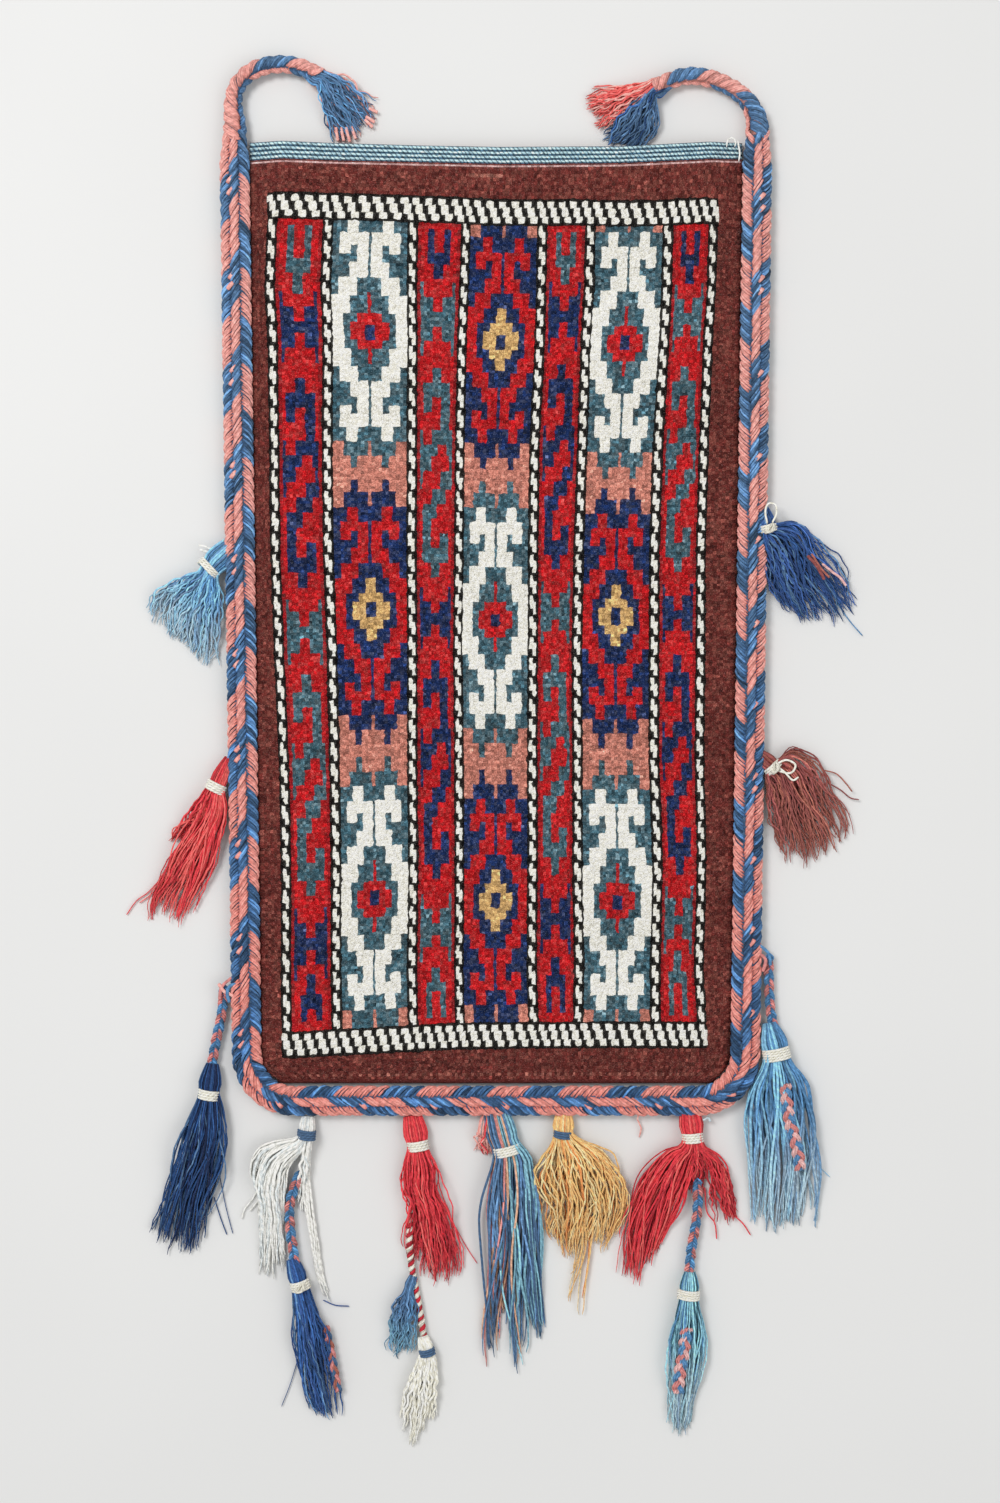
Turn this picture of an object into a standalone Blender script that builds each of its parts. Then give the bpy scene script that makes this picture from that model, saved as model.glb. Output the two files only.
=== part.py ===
"""Spindle bag, laid flat on its back with the pile face up and the mouth towards +Y.

One woven strip is folded at the foot into a flat bag that is open at the mouth. A plaited cord is sewn
round the two sides and the foot, and its free ends are the two ties. Wool tassels hang from the plait,
some of them on short plaited cords with smaller tassels at their ends.

Metres, +Z up. The origin is the middle of the woven back, on the surface that the bag lies on.
"""

import math

import bmesh
import bpy
import numpy as np

MM = 0.001

# Woven strip
MOUTH_WIDTH = 270.0 * MM
FOOT_WIDTH = 256.0 * MM
WOVEN_LENGTH = 519.0 * MM
FOOT_CORNER_RADIUS = 20.0 * MM
MOUTH_SAG = 4.0 * MM
BACK_THICKNESS = 1.6 * MM
PILE_THICKNESS = 4.2 * MM
MOUTH_BAND_THICKNESS = 2.2 * MM
POCKET_HEIGHT = 6.0 * MM
SEAM_WIDTH = 7.0 * MM
PUFF_RUN = 20.0 * MM

# Bands across the pile face, from the mouth to the foot
RIB_COUNT = 4
RIB_PITCH = 2.75 * MM
RIB_RELIEF = 0.7 * MM
EDGE_LINE = 2.6 * MM
TOP_BORDER = 17.6 * MM
CROSS_STRIPE = 14.5 * MM
FOOT_BORDER = 17.5 * MM

# Columns of the pile face, from left to right. They share the width of the strip in these proportions.
LEFT_BORDER = 10.5 * MM
RIGHT_BORDER = 13.5 * MM
STRIPE_WIDTH = 4.7 * MM
NARROW_WIDTHS = (26.4 * MM, 22.0 * MM, 21.0 * MM, 20.0 * MM)
WIDE_WIDTHS = (41.3 * MM, 39.3 * MM, 37.4 * MM)
PINK_BAND = 37.0 * MM
PINK_TAB = 10.0 * MM

# Plait round the edge
PLAIT_WIDTH = 17.8 * MM
PLAIT_THICKNESS = 11.0 * MM
PLAIT_OVERHANG = 3.5 * MM
PLAIT_CORNER_TIGHTER = 3.0 * MM
PLAIT_TAPER = 16.0 * MM
PLAIT_PITCH = 18.0 * MM
PLAIT_SLANT = 6.0 * MM
PLAIT_RELIEF = 0.14
PLAIT_SIDE_RELIEF = 0.03
PLAIT_SIDES = 8

# Ties, cords and tassels
TIE_DIAMETER = 10.5 * MM
CORD_DIAMETER = 6.5 * MM
TWIST_DIAMETER = 4.8 * MM
CORD_STEP = 7.0 * MM
WRAP_THICKNESS = 1.5 * MM
TOUCH_GAP = 0.3 * MM
ROOT_WIDTH = 5.0 * MM
TIP_RAGGEDNESS = 5.0 * MM
FLUTE_DEPTH = 0.2
BUNDLE_SIDES = 12
WRAP_SIDES = 10
TIP_THICKNESS = 5.0 * MM
TALLEST_NECK = 10.0 * MM
TALLEST_HEAD = 11.0 * MM
TALLEST_ROOT = 7.0 * MM

MAROON = (0.16, 0.045, 0.036)
BLACK = (0.010, 0.009, 0.008)
IVORY = (0.82, 0.78, 0.66)
RED = (0.42, 0.014, 0.018)
NAVY = (0.020, 0.035, 0.12)
TEAL = (0.045, 0.11, 0.15)
PINK = (0.55, 0.19, 0.14)
GOLD = (0.72, 0.42, 0.15)
BAND_BLUE = (0.16, 0.36, 0.45)
PLAIT_BLUE = (0.055, 0.15, 0.30)
SALMON = (0.70, 0.18, 0.14)
SKY = (0.13, 0.30, 0.46)
CORAL = (0.50, 0.05, 0.055)
INK = (0.018, 0.045, 0.13)
DEEP_BLUE = (0.020, 0.07, 0.24)
BROWN = (0.24, 0.075, 0.065)
OCHRE = (0.70, 0.36, 0.12)
PALE = (0.62, 0.62, 0.57)
WOOL_WHITE = (0.78, 0.74, 0.62)
SLATE = (0.07, 0.13, 0.22)
TEAL_BLUE = (0.07, 0.22, 0.30)
CORD_PINK = (0.42, 0.20, 0.20)

WOOL_ROUGHNESS = 0.85


def clear_scene():
    """Removes whatever the file holds before the bag is built."""
    for obj in list(bpy.data.objects):
        bpy.data.objects.remove(obj, do_unlink=True)


def wool(name, colour):
    """A plain wool material of one dye."""
    known = bpy.data.materials.get(name)
    if known:
        return known
    material = bpy.data.materials.new(name)
    material.use_nodes = True
    shader = material.node_tree.nodes["Principled BSDF"]
    shader.inputs["Base Color"].default_value = (*colour, 1.0)
    shader.inputs["Roughness"].default_value = WOOL_ROUGHNESS
    shader.inputs["Metallic"].default_value = 0.0
    return material


def mesh_object(name, points, faces, materials, face_slots=None, smooth=True):
    """A mesh object from its points and faces, with one material or one slot a face."""
    mesh = bpy.data.meshes.new(name)
    mesh.from_pydata([tuple(p) for p in points], [], [tuple(f) for f in faces])
    for material in materials:
        mesh.materials.append(material)
    if face_slots is not None:
        mesh.polygons.foreach_set("material_index", face_slots)
    if smooth:
        mesh.shade_smooth()
        mesh.set_sharp_from_angle(angle=math.radians(40.0))
    obj = bpy.data.objects.new(name, mesh)
    bpy.context.scene.collection.objects.link(obj)
    return obj


def smooth_step(value):
    """0 below 0, 1 above 1, and a smooth rise between."""
    value = np.clip(value, 0.0, 1.0)
    return value * value * (3.0 - 2.0 * value)


# Outline of the woven strip

def mouth_y(x):
    """The mouth's edge, which sags a little in the middle."""
    return WOVEN_LENGTH / 2 - MOUTH_SAG * (1.0 - (2.0 * x / MOUTH_WIDTH) ** 2)


def foot_y():
    """The fold at the foot."""
    return -WOVEN_LENGTH / 2


def straight_half_width(y):
    """Half the width at y, before the foot's corners are rounded."""
    down = (WOVEN_LENGTH / 2 - y) / WOVEN_LENGTH
    return (MOUTH_WIDTH + (FOOT_WIDTH - MOUTH_WIDTH) * down) / 2


def corner_cut(y):
    """How much a rounded corner takes off half the width at y."""
    into = np.clip((foot_y() + FOOT_CORNER_RADIUS - y) / FOOT_CORNER_RADIUS, 0.0, 1.0)
    return FOOT_CORNER_RADIUS * (1.0 - np.sqrt(1.0 - into * into))


def front_height(x, y):
    """Height of the pile face: low along the sewn edges, and level over the pocket."""
    edge = BACK_THICKNESS + PILE_THICKNESS
    from_side = straight_half_width(y) - np.abs(x)
    from_foot = y - foot_y()
    rise = smooth_step(from_side / PUFF_RUN) * smooth_step(from_foot / PUFF_RUN)
    return edge + POCKET_HEIGHT * rise


# Layout of the pile face

def column_lines():
    """(places across the strip from 0 to 1, what each strip between them is)."""
    kinds = []
    widths = []

    def add(kind, width):
        kinds.append(kind)
        widths.append(width)

    add("border", LEFT_BORDER * 0.4)
    add("border", LEFT_BORDER * 0.6)
    add("stripe", STRIPE_WIDTH)
    for index, narrow in enumerate(NARROW_WIDTHS):
        add(f"edge{index}", narrow * 0.2)
        add(f"narrow{index}", narrow * 0.6)
        add(f"edge{index}", narrow * 0.2)
        add("stripe", STRIPE_WIDTH)
        if index < len(WIDE_WIDTHS):
            wide = WIDE_WIDTHS[index]
            for part, share in ((2, 0.143), (1, 0.19), (0, 0.334), (1, 0.19), (2, 0.143)):
                add(f"wide{index}.{part}", wide * share)
            add("stripe", STRIPE_WIDTH)
    add("border", RIGHT_BORDER * 0.6)
    add("border", RIGHT_BORDER * 0.4)
    lines = np.concatenate([[0.0], np.cumsum(widths)])
    return lines / lines[-1], kinds


def row_lines():
    """(distances from the mouth's edge, what each row between them is, the height added at each line)."""
    lines = [0.0]
    kinds = []
    band_drop = MOUTH_BAND_THICKNESS - PILE_THICKNESS
    added = [band_drop - RIB_RELIEF]

    def add(kind, depth, height=0.0):
        lines.append(lines[-1] + depth)
        kinds.append(kind)
        added.append(height)

    for rib in range(RIB_COUNT):
        add("mouth", RIB_PITCH / 2, band_drop)
        add("mouth", RIB_PITCH / 2, band_drop - RIB_RELIEF)
    add("line", EDGE_LINE)
    add("border", TOP_BORDER)
    add("cross", CROSS_STRIPE)
    field = WOVEN_LENGTH - lines[-1] - CROSS_STRIPE - FOOT_BORDER
    medallion = (field - 2 * PINK_BAND - PINK_TAB) / 3
    for index in range(3):
        for row, share in enumerate((0.14, 0.19, 0.11, 0.12, 0.11, 0.19, 0.14)):
            add(f"field{index}.{row}", medallion * share)
        add(f"pink{index}", PINK_BAND if index < 2 else PINK_TAB)
    add("cross", CROSS_STRIPE)
    for share in (0.1, 0.4, 0.36, 0.14):
        add("border", FOOT_BORDER * share)
    return np.array(lines), kinds, np.array(added)


DYES = {
    "maroon_pile": MAROON, "black_pile": BLACK, "ivory_pile": IVORY, "red_pile": RED, "navy_pile": NAVY,
    "teal_pile": TEAL, "pink_pile": PINK, "gold_pile": GOLD, "mouth_band_wool": BAND_BLUE,
}


def medallion_dye(row, part, pale):
    """Dye of one block of a hooked medallion, by its row (0 to 6) and its distance from the centre line."""
    ground = "teal_pile" if pale else "navy_pile"
    ring = "ivory_pile" if pale else "red_pile"
    heart = "red_pile" if pale else "gold_pile"
    from_middle = abs(row - 3)
    if from_middle == 0:
        return (heart, ground, ring)[part]
    if from_middle == 3:
        return (ring, ring, ground)[part]
    return (ground, ring, ground)[part] if from_middle == 2 else (ground, ground, ring)[part]


def block_dye(row_kind, column_kind):
    """Dye of one block of the pile face."""
    if row_kind == "mouth":
        return "mouth_band_wool"
    if row_kind == "line":
        return "pink_pile"
    if row_kind == "border" or column_kind == "border":
        return "maroon_pile"
    if row_kind == "cross":
        return "ivory_pile"
    if column_kind == "stripe":
        return "black_pile"
    index = int(row_kind[5]) if row_kind.startswith("field") else int(row_kind[4])
    column = int(column_kind.lstrip("widenarog")[0])
    if column_kind.startswith("wide"):
        if row_kind.startswith("pink"):
            return "pink_pile"
        pale = (column + index) % 2 == 0
        return medallion_dye(int(row_kind[7]), int(column_kind[-1]), pale)
    if column_kind.startswith("edge") or row_kind.startswith("pink"):
        return "red_pile"
    figure = (index * 7 + int(row_kind[7])) // 2
    if figure % 2 == 0:
        return "red_pile"
    return "navy_pile" if (figure // 2 + column) % 2 == 0 else "teal_pile"


def bag_cloth():
    """The woven strip: pile face, folded foot and plain back in one piece, hollow and open at the mouth."""
    across, column_kinds = column_lines()
    down, row_kinds, added = row_lines()
    sides = 2.0 * across - 1.0
    points = []
    for row, distance in enumerate(down):
        y = WOVEN_LENGTH / 2 - distance
        half = straight_half_width(y) - float(corner_cut(np.float64(y)))
        x = sides * half
        sag = (WOVEN_LENGTH / 2 - mouth_y(x)) * (1.0 - distance / WOVEN_LENGTH)
        seat = y - sag
        level = smooth_step((straight_half_width(y) - np.abs(x)) / PUFF_RUN)
        z = front_height(x, np.full_like(x, y)) + added[row] * (0.4 + 0.6 * level)
        points.append(np.stack([x, seat, z], axis=1))
    grid = np.array(points)
    rows, columns = grid.shape[:2]
    top = grid.reshape(-1, 3)
    names = list(DYES)
    faces = []
    slots = []
    for row in range(rows - 1):
        for column in range(columns - 1):
            a = row * columns + column
            faces.append((a, a + columns, a + columns + 1, a + 1))
            slots.append(names.index(block_dye(row_kinds[row], column_kinds[column])))
    rim = [column for column in range(columns)]
    rim += [row * columns + columns - 1 for row in range(1, rows)]
    rim += [(rows - 1) * columns + column for column in range(columns - 2, -1, -1)]
    rim += [row * columns for row in range(rows - 2, 0, -1)]
    floor = top[rim].copy()
    floor[:, 2] = 0.0
    first = len(top)
    count = len(rim)
    for k in range(count):
        after = (k + 1) % count
        faces.append((rim[k], rim[after], first + after, first + k))
        slots.append(names.index("maroon_pile"))
    faces.append(tuple(first + k for k in range(count)))
    slots.append(names.index("maroon_pile"))
    materials = [wool(name, colour) for name, colour in DYES.items()]
    cloth = mesh_object("bag_cloth", np.vstack([top, floor]), faces, materials, slots)
    cut = cloth.modifiers.new("pocket", "BOOLEAN")
    cut.operation = "DIFFERENCE"
    cut.object = pocket_cutter()
    return cloth


def pocket_cutter():
    """The empty space between the back and the pile face, past the mouth at its open end."""
    out_of_seam = np.array([0.0, 0.25, 0.5, 0.85]) * PUFF_RUN
    foot_lines = foot_y() + SEAM_WIDTH + out_of_seam
    run_out = 10.0 * MM
    y_lines = np.concatenate([foot_lines, [0.0, WOVEN_LENGTH / 2 + run_out]])
    roof = []
    for y in y_lines:
        half = straight_half_width(min(y, WOVEN_LENGTH / 2)) - SEAM_WIDTH
        inner = half - out_of_seam
        x = np.concatenate([-inner, inner[::-1]])
        z = front_height(x, np.full_like(x, y)) - PILE_THICKNESS
        roof.append(np.stack([x, np.full_like(x, y), z], axis=1))
    roof = np.array(roof)
    rows, columns = roof.shape[:2]
    upper = roof.reshape(-1, 3)
    lower = upper.copy()
    lower[:, 2] = BACK_THICKNESS
    count = len(upper)
    faces = []
    for row in range(rows - 1):
        for column in range(columns - 1):
            a = row * columns + column
            faces.append((a, a + 1, a + columns + 1, a + columns))
            faces.append((count + a, count + a + columns, count + a + columns + 1, count + a + 1))
    rim = [column for column in range(columns)]
    rim += [row * columns + columns - 1 for row in range(1, rows)]
    rim += [(rows - 1) * columns + column for column in range(columns - 2, -1, -1)]
    rim += [row * columns for row in range(rows - 2, 0, -1)]
    for k, a in enumerate(rim):
        b = rim[(k + 1) % len(rim)]
        faces.append((b, a, count + a, count + b))
    cutter = mesh_object("pocket_cutter", np.vstack([upper, lower]), faces, [], smooth=False)
    as_helper(cutter)
    return cutter


def as_helper(obj):
    """Marks an object that only shapes another one."""
    obj.hide_render = True
    obj.display_type = "WIRE"


# Plait round the edge

def edge_route():
    """Points along the plait's centre line, from the left end at the mouth, round the foot, to the right."""
    off = TOUCH_GAP + PLAIT_WIDTH / 2
    inner_radius = FOOT_CORNER_RADIUS - PLAIT_CORNER_TIGHTER
    radius = inner_radius + off
    top = WOVEN_LENGTH / 2 + PLAIT_OVERHANG
    side_top = MOUTH_WIDTH / 2 + off
    corner_y = foot_y() + inner_radius
    side_foot = straight_half_width(corner_y) + off
    corner = np.array([side_foot - radius, corner_y])
    angles = np.linspace(math.pi, 1.5 * math.pi, 25)
    left_corner = np.stack(
        [-corner[0] + radius * np.cos(angles), corner[1] + radius * np.sin(angles)], axis=1
    )
    side = np.linspace(0.0, 1.0, 60)[:-1, None]
    start = np.array([-side_top, top])
    end = np.array([-side_foot, corner[1]])
    left = start + (end - start) * side
    half = np.vstack([left, left_corner])
    mirror = half[::-1] * np.array([-1.0, 1.0])
    foot = np.linspace(0.0, 1.0, 40)[1:-1, None]
    bottom = half[-1] + (mirror[0] - half[-1]) * foot
    return np.vstack([half, bottom, mirror])


def walk(route):
    """Distance along a route at each of its points."""
    steps = np.linalg.norm(np.diff(route, axis=0), axis=1)
    return np.concatenate([[0.0], np.cumsum(steps)])


def along(route, distances):
    """(points, unit tangents) at these distances along a flat route."""
    reach = walk(route)
    wanted = np.clip(distances, 0.0, reach[-1])
    points = np.stack([np.interp(wanted, reach, route[:, axis]) for axis in range(2)], axis=-1)
    step = reach[-1] / 2000
    ahead = np.stack([np.interp(np.clip(wanted + step, 0, reach[-1]), reach, route[:, axis])
                      for axis in range(2)], axis=-1)
    behind = np.stack([np.interp(np.clip(wanted - step, 0, reach[-1]), reach, route[:, axis])
                       for axis in range(2)], axis=-1)
    tangent = ahead - behind
    return points, tangent / np.linalg.norm(tangent, axis=-1, keepdims=True)


def edge_braid():
    """The plaited cord sewn round the sides and the foot: slanted stitches meeting along its middle."""
    route = edge_route()
    length = walk(route)[-1]
    rings = 2 * round(length / PLAIT_PITCH) + 1
    angle = 2 * math.pi * (np.arange(PLAIT_SIDES) + 0.5) / PLAIT_SIDES
    spread = np.cos(angle) / math.cos(math.pi / PLAIT_SIDES)
    rise = np.sin(angle) / math.cos(math.pi / PLAIT_SIDES)
    points = []
    for ring in range(rings):
        base = length * ring / (rings - 1)
        from_end = min(base, length - base)
        taper = float(smooth_step(from_end / PLAIT_TAPER))
        width = TIE_DIAMETER + (PLAIT_WIDTH - TIE_DIAMETER) * taper
        thickness = min(TIE_DIAMETER, PLAIT_THICKNESS) + max(0.0, PLAIT_THICKNESS - TIE_DIAMETER) * taper
        groove = ring % 2
        slant = PLAIT_SLANT * min(1.0, from_end / PLAIT_TAPER)
        distance = base - slant * (np.abs(spread) - 0.5)
        if ring in (0, rings - 1):
            distance = np.full(PLAIT_SIDES, base)
        centre, tangent = along(route, distance)
        outward = np.stack([tangent[:, 1], -tangent[:, 0]], axis=1)
        reach = spread * width / 2 * (1.0 - PLAIT_SIDE_RELIEF * groove * (spread > 0.0))
        flat = centre + outward * reach[:, None]
        height = PLAIT_THICKNESS / 2 + rise * thickness / 2 * (1.0 - PLAIT_RELIEF * groove)
        points.append(np.column_stack([flat, np.clip(height, 0.0, None)]))
    return tube_object("edge_braid", np.array(points), plait_materials(), plait_slots(rings - 1))


def plait_materials():
    """The two dyes of the plait."""
    return [wool("plait_blue", PLAIT_BLUE), wool("plait_salmon", SALMON)]


def plait_slots(rings):
    """The two dyes change places from the inner row of stitches to the outer one, every three stitches."""
    slots = []
    for ring in range(rings):
        for k in range(PLAIT_SIDES):
            outer_row = 1 if math.cos(2 * math.pi * (k + 1) / PLAIT_SIDES) > 0 else 0
            slots.append(((ring // 2 + 3 * outer_row) // 3) % 2)
    return slots


def tube_object(name, rings, materials, side_slots=None, caps_in=(0.0, 0.0)):
    """A closed body through rings of points, each end closed by a fan to a point set in by caps_in."""
    count, section = rings.shape[:2]
    points = rings.reshape(-1, 3)
    faces = []
    for ring in range(count - 1):
        for k in range(section):
            after = (k + 1) % section
            a = ring * section + k
            b = ring * section + after
            faces.append((a, b, b + section, a + section))
    slots = list(side_slots) if side_slots is not None else [0] * len(faces)
    ends = []
    for last, inset in ((False, caps_in[0]), (True, caps_in[1])):
        ring = rings[-1] if last else rings[0]
        inner = rings[-2] if last else rings[1]
        middle = ring.mean(axis=0)
        inward = inner.mean(axis=0) - middle
        inward = inward / np.linalg.norm(inward)
        ends.append(middle + inward * inset)
    start = len(points)
    base = (count - 1) * section
    for k in range(section):
        after = (k + 1) % section
        faces.append((k, start, after))
        faces.append((base + after, start + 1, base + k))
    slots += [0] * (2 * section)
    obj = mesh_object(name, np.vstack([points, ends]), faces, materials, slots)
    face_outwards(obj)
    return obj


def face_outwards(obj):
    """Turns every face of a closed mesh outwards."""
    shape = bmesh.new()
    shape.from_mesh(obj.data)
    bmesh.ops.recalc_face_normals(shape, faces=shape.faces)
    shape.to_mesh(obj.data)
    shape.free()


# Cords

def curve_through(points, samples):
    """A smooth route through chosen points (each span a Catmull-Rom curve), read at even steps."""
    points = np.asarray(points, dtype=float)
    padded = np.vstack([2 * points[0] - points[1], points, 2 * points[-1] - points[-2]])
    dense = []
    for index in range(1, len(padded) - 2):
        before, here, there, after = padded[index - 1:index + 3]
        t = np.linspace(0.0, 1.0, 24, endpoint=False)[:, None]
        dense.append(0.5 * (2 * here + (there - before) * t
                            + (2 * before - 5 * here + 4 * there - after) * t ** 2
                            + (3 * here - before - 3 * there + after) * t ** 3))
    dense = np.vstack(dense + [padded[-2:-1]])
    reach = walk(dense)
    wanted = np.linspace(0.0, reach[-1], samples)
    return np.stack([np.interp(wanted, reach, dense[:, axis]) for axis in range(dense.shape[1])], axis=1)


def cord(name, points, diameter, material):
    """A free cord: a round tube along a smooth route, with a point about every CORD_STEP."""
    length = walk(curve_through(points, 60))[-1]
    samples = max(6, round(length / CORD_STEP) + 1)
    route = curve_through(points, samples)
    data = bpy.data.curves.new(name, "CURVE")
    data.dimensions = "3D"
    data.bevel_depth = diameter / 2
    data.bevel_resolution = 2
    data.use_fill_caps = True
    spline = data.splines.new("POLY")
    spline.points.add(len(route) - 1)
    for point, place in zip(spline.points, route):
        point.co = (*place, 1.0)
    data.materials.append(material)
    obj = bpy.data.objects.new(name, data)
    bpy.context.scene.collection.objects.link(obj)
    return obj


# Tassels

def seat_on_side(side, share, clear=TOUCH_GAP):
    """Point beside the plait's outer edge, left (-1) or right (+1), this share of the way to the foot."""
    y = WOVEN_LENGTH / 2 - share * WOVEN_LENGTH
    x = straight_half_width(y) + TOUCH_GAP + PLAIT_WIDTH + clear
    return np.array([side * x, y])


def seat_on_foot(share, clear=TOUCH_GAP):
    """Point just below the plait's outer edge along the foot, this share of half its width to the right."""
    return np.array([share * FOOT_WIDTH / 2, foot_y() - TOUCH_GAP - PLAIT_WIDTH - clear])


class Bundle:
    """A bundle of yarn that lies on the floor: a head, a neck under its wrap, and a spread skirt.

    route holds the centre line's points in mm from the root. neck_at is how far along it the wrap sits.
    skirt holds (share of the way from the neck to the tips, width in mm).
    """

    def __init__(self, root, route, head, neck_at, neck, skirt, height, root_width=ROOT_WIDTH / MM,
                 wrap_length=6.0, neck_height=None):
        self.root = np.asarray(root, dtype=float)
        self.centre_line = curve_through(np.array(route) * MM + self.root, 200)
        self.length = walk(self.centre_line)[-1]
        self.head = head * MM
        self.neck_at = neck_at * MM
        self.neck = neck * MM
        self.neck_height = neck_height * MM if neck_height else min(self.neck, TALLEST_NECK)
        self.skirt = skirt
        self.height = height * MM
        self.root_width = root_width * MM
        self.root_height = min(self.root_width, TALLEST_ROOT)
        self.wrap_length = wrap_length * MM

    def stations(self):
        """(distance, width, height, lift off the floor, flute depth) at each ring."""
        lift = WRAP_THICKNESS + TOUCH_GAP
        held = self.wrap_length / 2 + 2 * TOUCH_GAP
        neck_start = self.neck_at - held
        neck_end = self.neck_at + held
        rows = [
            (0.0, self.root_width, self.root_height, lift + (self.neck_height - self.root_height) / 2, 0.0),
            (0.45 * neck_start, self.head, max(self.neck_height, min(self.head, TALLEST_HEAD)), lift, 0.0),
            (neck_start, self.neck, self.neck_height, lift, 0.0),
            (neck_end, self.neck, self.neck_height, lift, 0.0),
        ]
        rest = self.length - neck_end
        for share, width in self.skirt:
            thin = smooth_step((share - 0.35) / 0.65)
            height = self.height + (TIP_THICKNESS - self.height) * thin
            rows.append((neck_end + rest * share, width * MM, height, 0.0, FLUTE_DEPTH * min(1.0, 2 * share)))
        return rows

    def rings(self):
        """Rings of points across the bundle, the last one drawn out into ragged tips."""
        angle = 2 * math.pi * np.arange(BUNDLE_SIDES) / BUNDLE_SIDES
        lock = np.minimum(np.arange(BUNDLE_SIDES), BUNDLE_SIDES - np.arange(BUNDLE_SIDES)) % 2
        made = []
        stations = self.stations()
        neck_centre, neck_tangent = along(self.centre_line, np.array([self.neck_at]))
        for index, (distance, width, height, lift, flute) in enumerate(stations):
            centre, tangent = along(self.centre_line, np.array([distance]))
            if index in (2, 3):
                tangent = neck_tangent
                centre = neck_centre + tangent * (distance - self.neck_at)
            across = np.array([tangent[0, 1], -tangent[0, 0]])
            reach = 1.0 - flute * lock
            flat = centre[0] + across * (np.cos(angle) * reach * width / 2)[:, None]
            if index == len(stations) - 1:
                flat = flat - tangent[0] * (TIP_RAGGEDNESS * lock)[:, None]
            up = lift + height / 2 * (1.0 + np.sin(angle) * reach)
            made.append(np.column_stack([flat, up]))
        return np.array(made)

    def build(self, name, material):
        tips_in = 2 * TIP_RAGGEDNESS
        return tube_object(name, self.rings(), [material], caps_in=(0.0, tips_in))

    def wrap(self, name, material):
        """The binding turned round the neck: a rounded band with a clear gap to the yarn inside it."""
        centre, tangent = along(self.centre_line, np.array([self.neck_at]))
        across = np.array([tangent[0, 1], -tangent[0, 0]])
        middle = WRAP_THICKNESS + TOUCH_GAP + self.neck_height / 2
        length = self.wrap_length
        thickness = WRAP_THICKNESS
        profile = ((-0.5, 0.0), (-0.42, 0.7), (0.0, 1.0), (0.42, 0.7), (0.5, 0.0))
        angle = 2 * math.pi * np.arange(WRAP_SIDES) / WRAP_SIDES
        stretch = 1.0 / math.cos(math.pi / WRAP_SIDES)
        points = []
        for theta in angle:
            for place, out in profile:
                half_width = (self.neck / 2 + TOUCH_GAP) * stretch + thickness * out
                half_height = (self.neck_height / 2 + TOUCH_GAP) * stretch + thickness * out
                flat = centre[0] + across * math.cos(theta) * half_width + tangent[0] * place * length
                points.append((*flat, middle + math.sin(theta) * half_height))
        lowest = min(point[2] for point in points)
        points = [(x, y, z - min(0.0, lowest)) for x, y, z in points]
        size = len(profile)
        faces = []
        for turn in range(WRAP_SIDES):
            for k in range(size):
                a = turn * size + k
                b = turn * size + (k + 1) % size
                c = (turn + 1) % WRAP_SIDES * size + (k + 1) % size
                d = (turn + 1) % WRAP_SIDES * size + k
                faces.append((a, b, c, d))
        band = mesh_object(name, points, faces, [material])
        face_outwards(band)
        return band


def with_lobe(body, lobe):
    """Joins a second lock of yarn to a tassel's body, so that the two stay one closed piece."""
    as_helper(lobe)
    union = body.modifiers.new("second_lock", "BOOLEAN")
    union.operation = "UNION"
    union.object = lobe
    return body


def side_tassels():
    """The four tassels knotted straight to the plait at the sides."""
    upper_left = Bundle(
        seat_on_side(-1, 0.4310),
        [(0, 0), (-3, -0.6), (-6.6, -5), (-9, -11.5), (-14.5, -27), (-20.5, -41), (-20.5, -61)],
        head=8.5, neck_at=14.5, neck=9.0, height=12.0, skirt=((0.3, 25), (0.62, 34), (0.85, 35), (1, 30)))
    upper_left.build("tassel_left_upper", wool("sky_yarn", SKY))
    upper_left.wrap("wrap_left_upper", wool("white_yarn", WOOL_WHITE))

    middle_left = Bundle(
        seat_on_side(-1, 0.6590),
        [(0, 0), (-3, -0.6), (-6.6, -5.5), (-9.4, -13), (-13.5, -30), (-17.5, -48), (-27, -66), (-38, -86)],
        head=8.5, neck_at=15.5, neck=9.0, height=12.0, skirt=((0.2, 22), (0.45, 28), (0.75, 26), (1, 24)))
    middle_left.build("tassel_left_middle", wool("coral_yarn", CORAL))
    middle_left.wrap("wrap_left_middle", wool("cream_yarn", WOOL_WHITE))

    upper_right = Bundle(
        seat_on_side(1, 0.3931),
        [(0, 0), (3, -0.6), (7, -5), (12, -15), (20, -29), (29, -43), (37, -56)],
        head=8.0, neck_at=10.5, neck=8.5, height=12.0, skirt=((0.25, 22), (0.5, 28), (0.8, 32), (1, 28)))
    upper_right.build("tassel_right_upper", wool("deep_blue_yarn", DEEP_BLUE))
    upper_right.wrap("wrap_right_upper", wool("white_yarn", WOOL_WHITE))

    middle_right = Bundle(
        seat_on_side(1, 0.6526),
        [(0, 0), (3, -0.4), (7.5, -4.5), (14.5, -13), (22.5, -27), (26.5, -43), (27.5, -61)],
        head=8.5, neck_at=10.0, neck=8.5, height=13.0, skirt=((0.2, 26), (0.45, 37), (0.75, 40), (1, 34)))
    middle_right.build("tassel_right_middle", wool("brown_yarn", BROWN))
    middle_right.wrap("wrap_right_middle", wool("cream_yarn", WOOL_WHITE))


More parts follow.
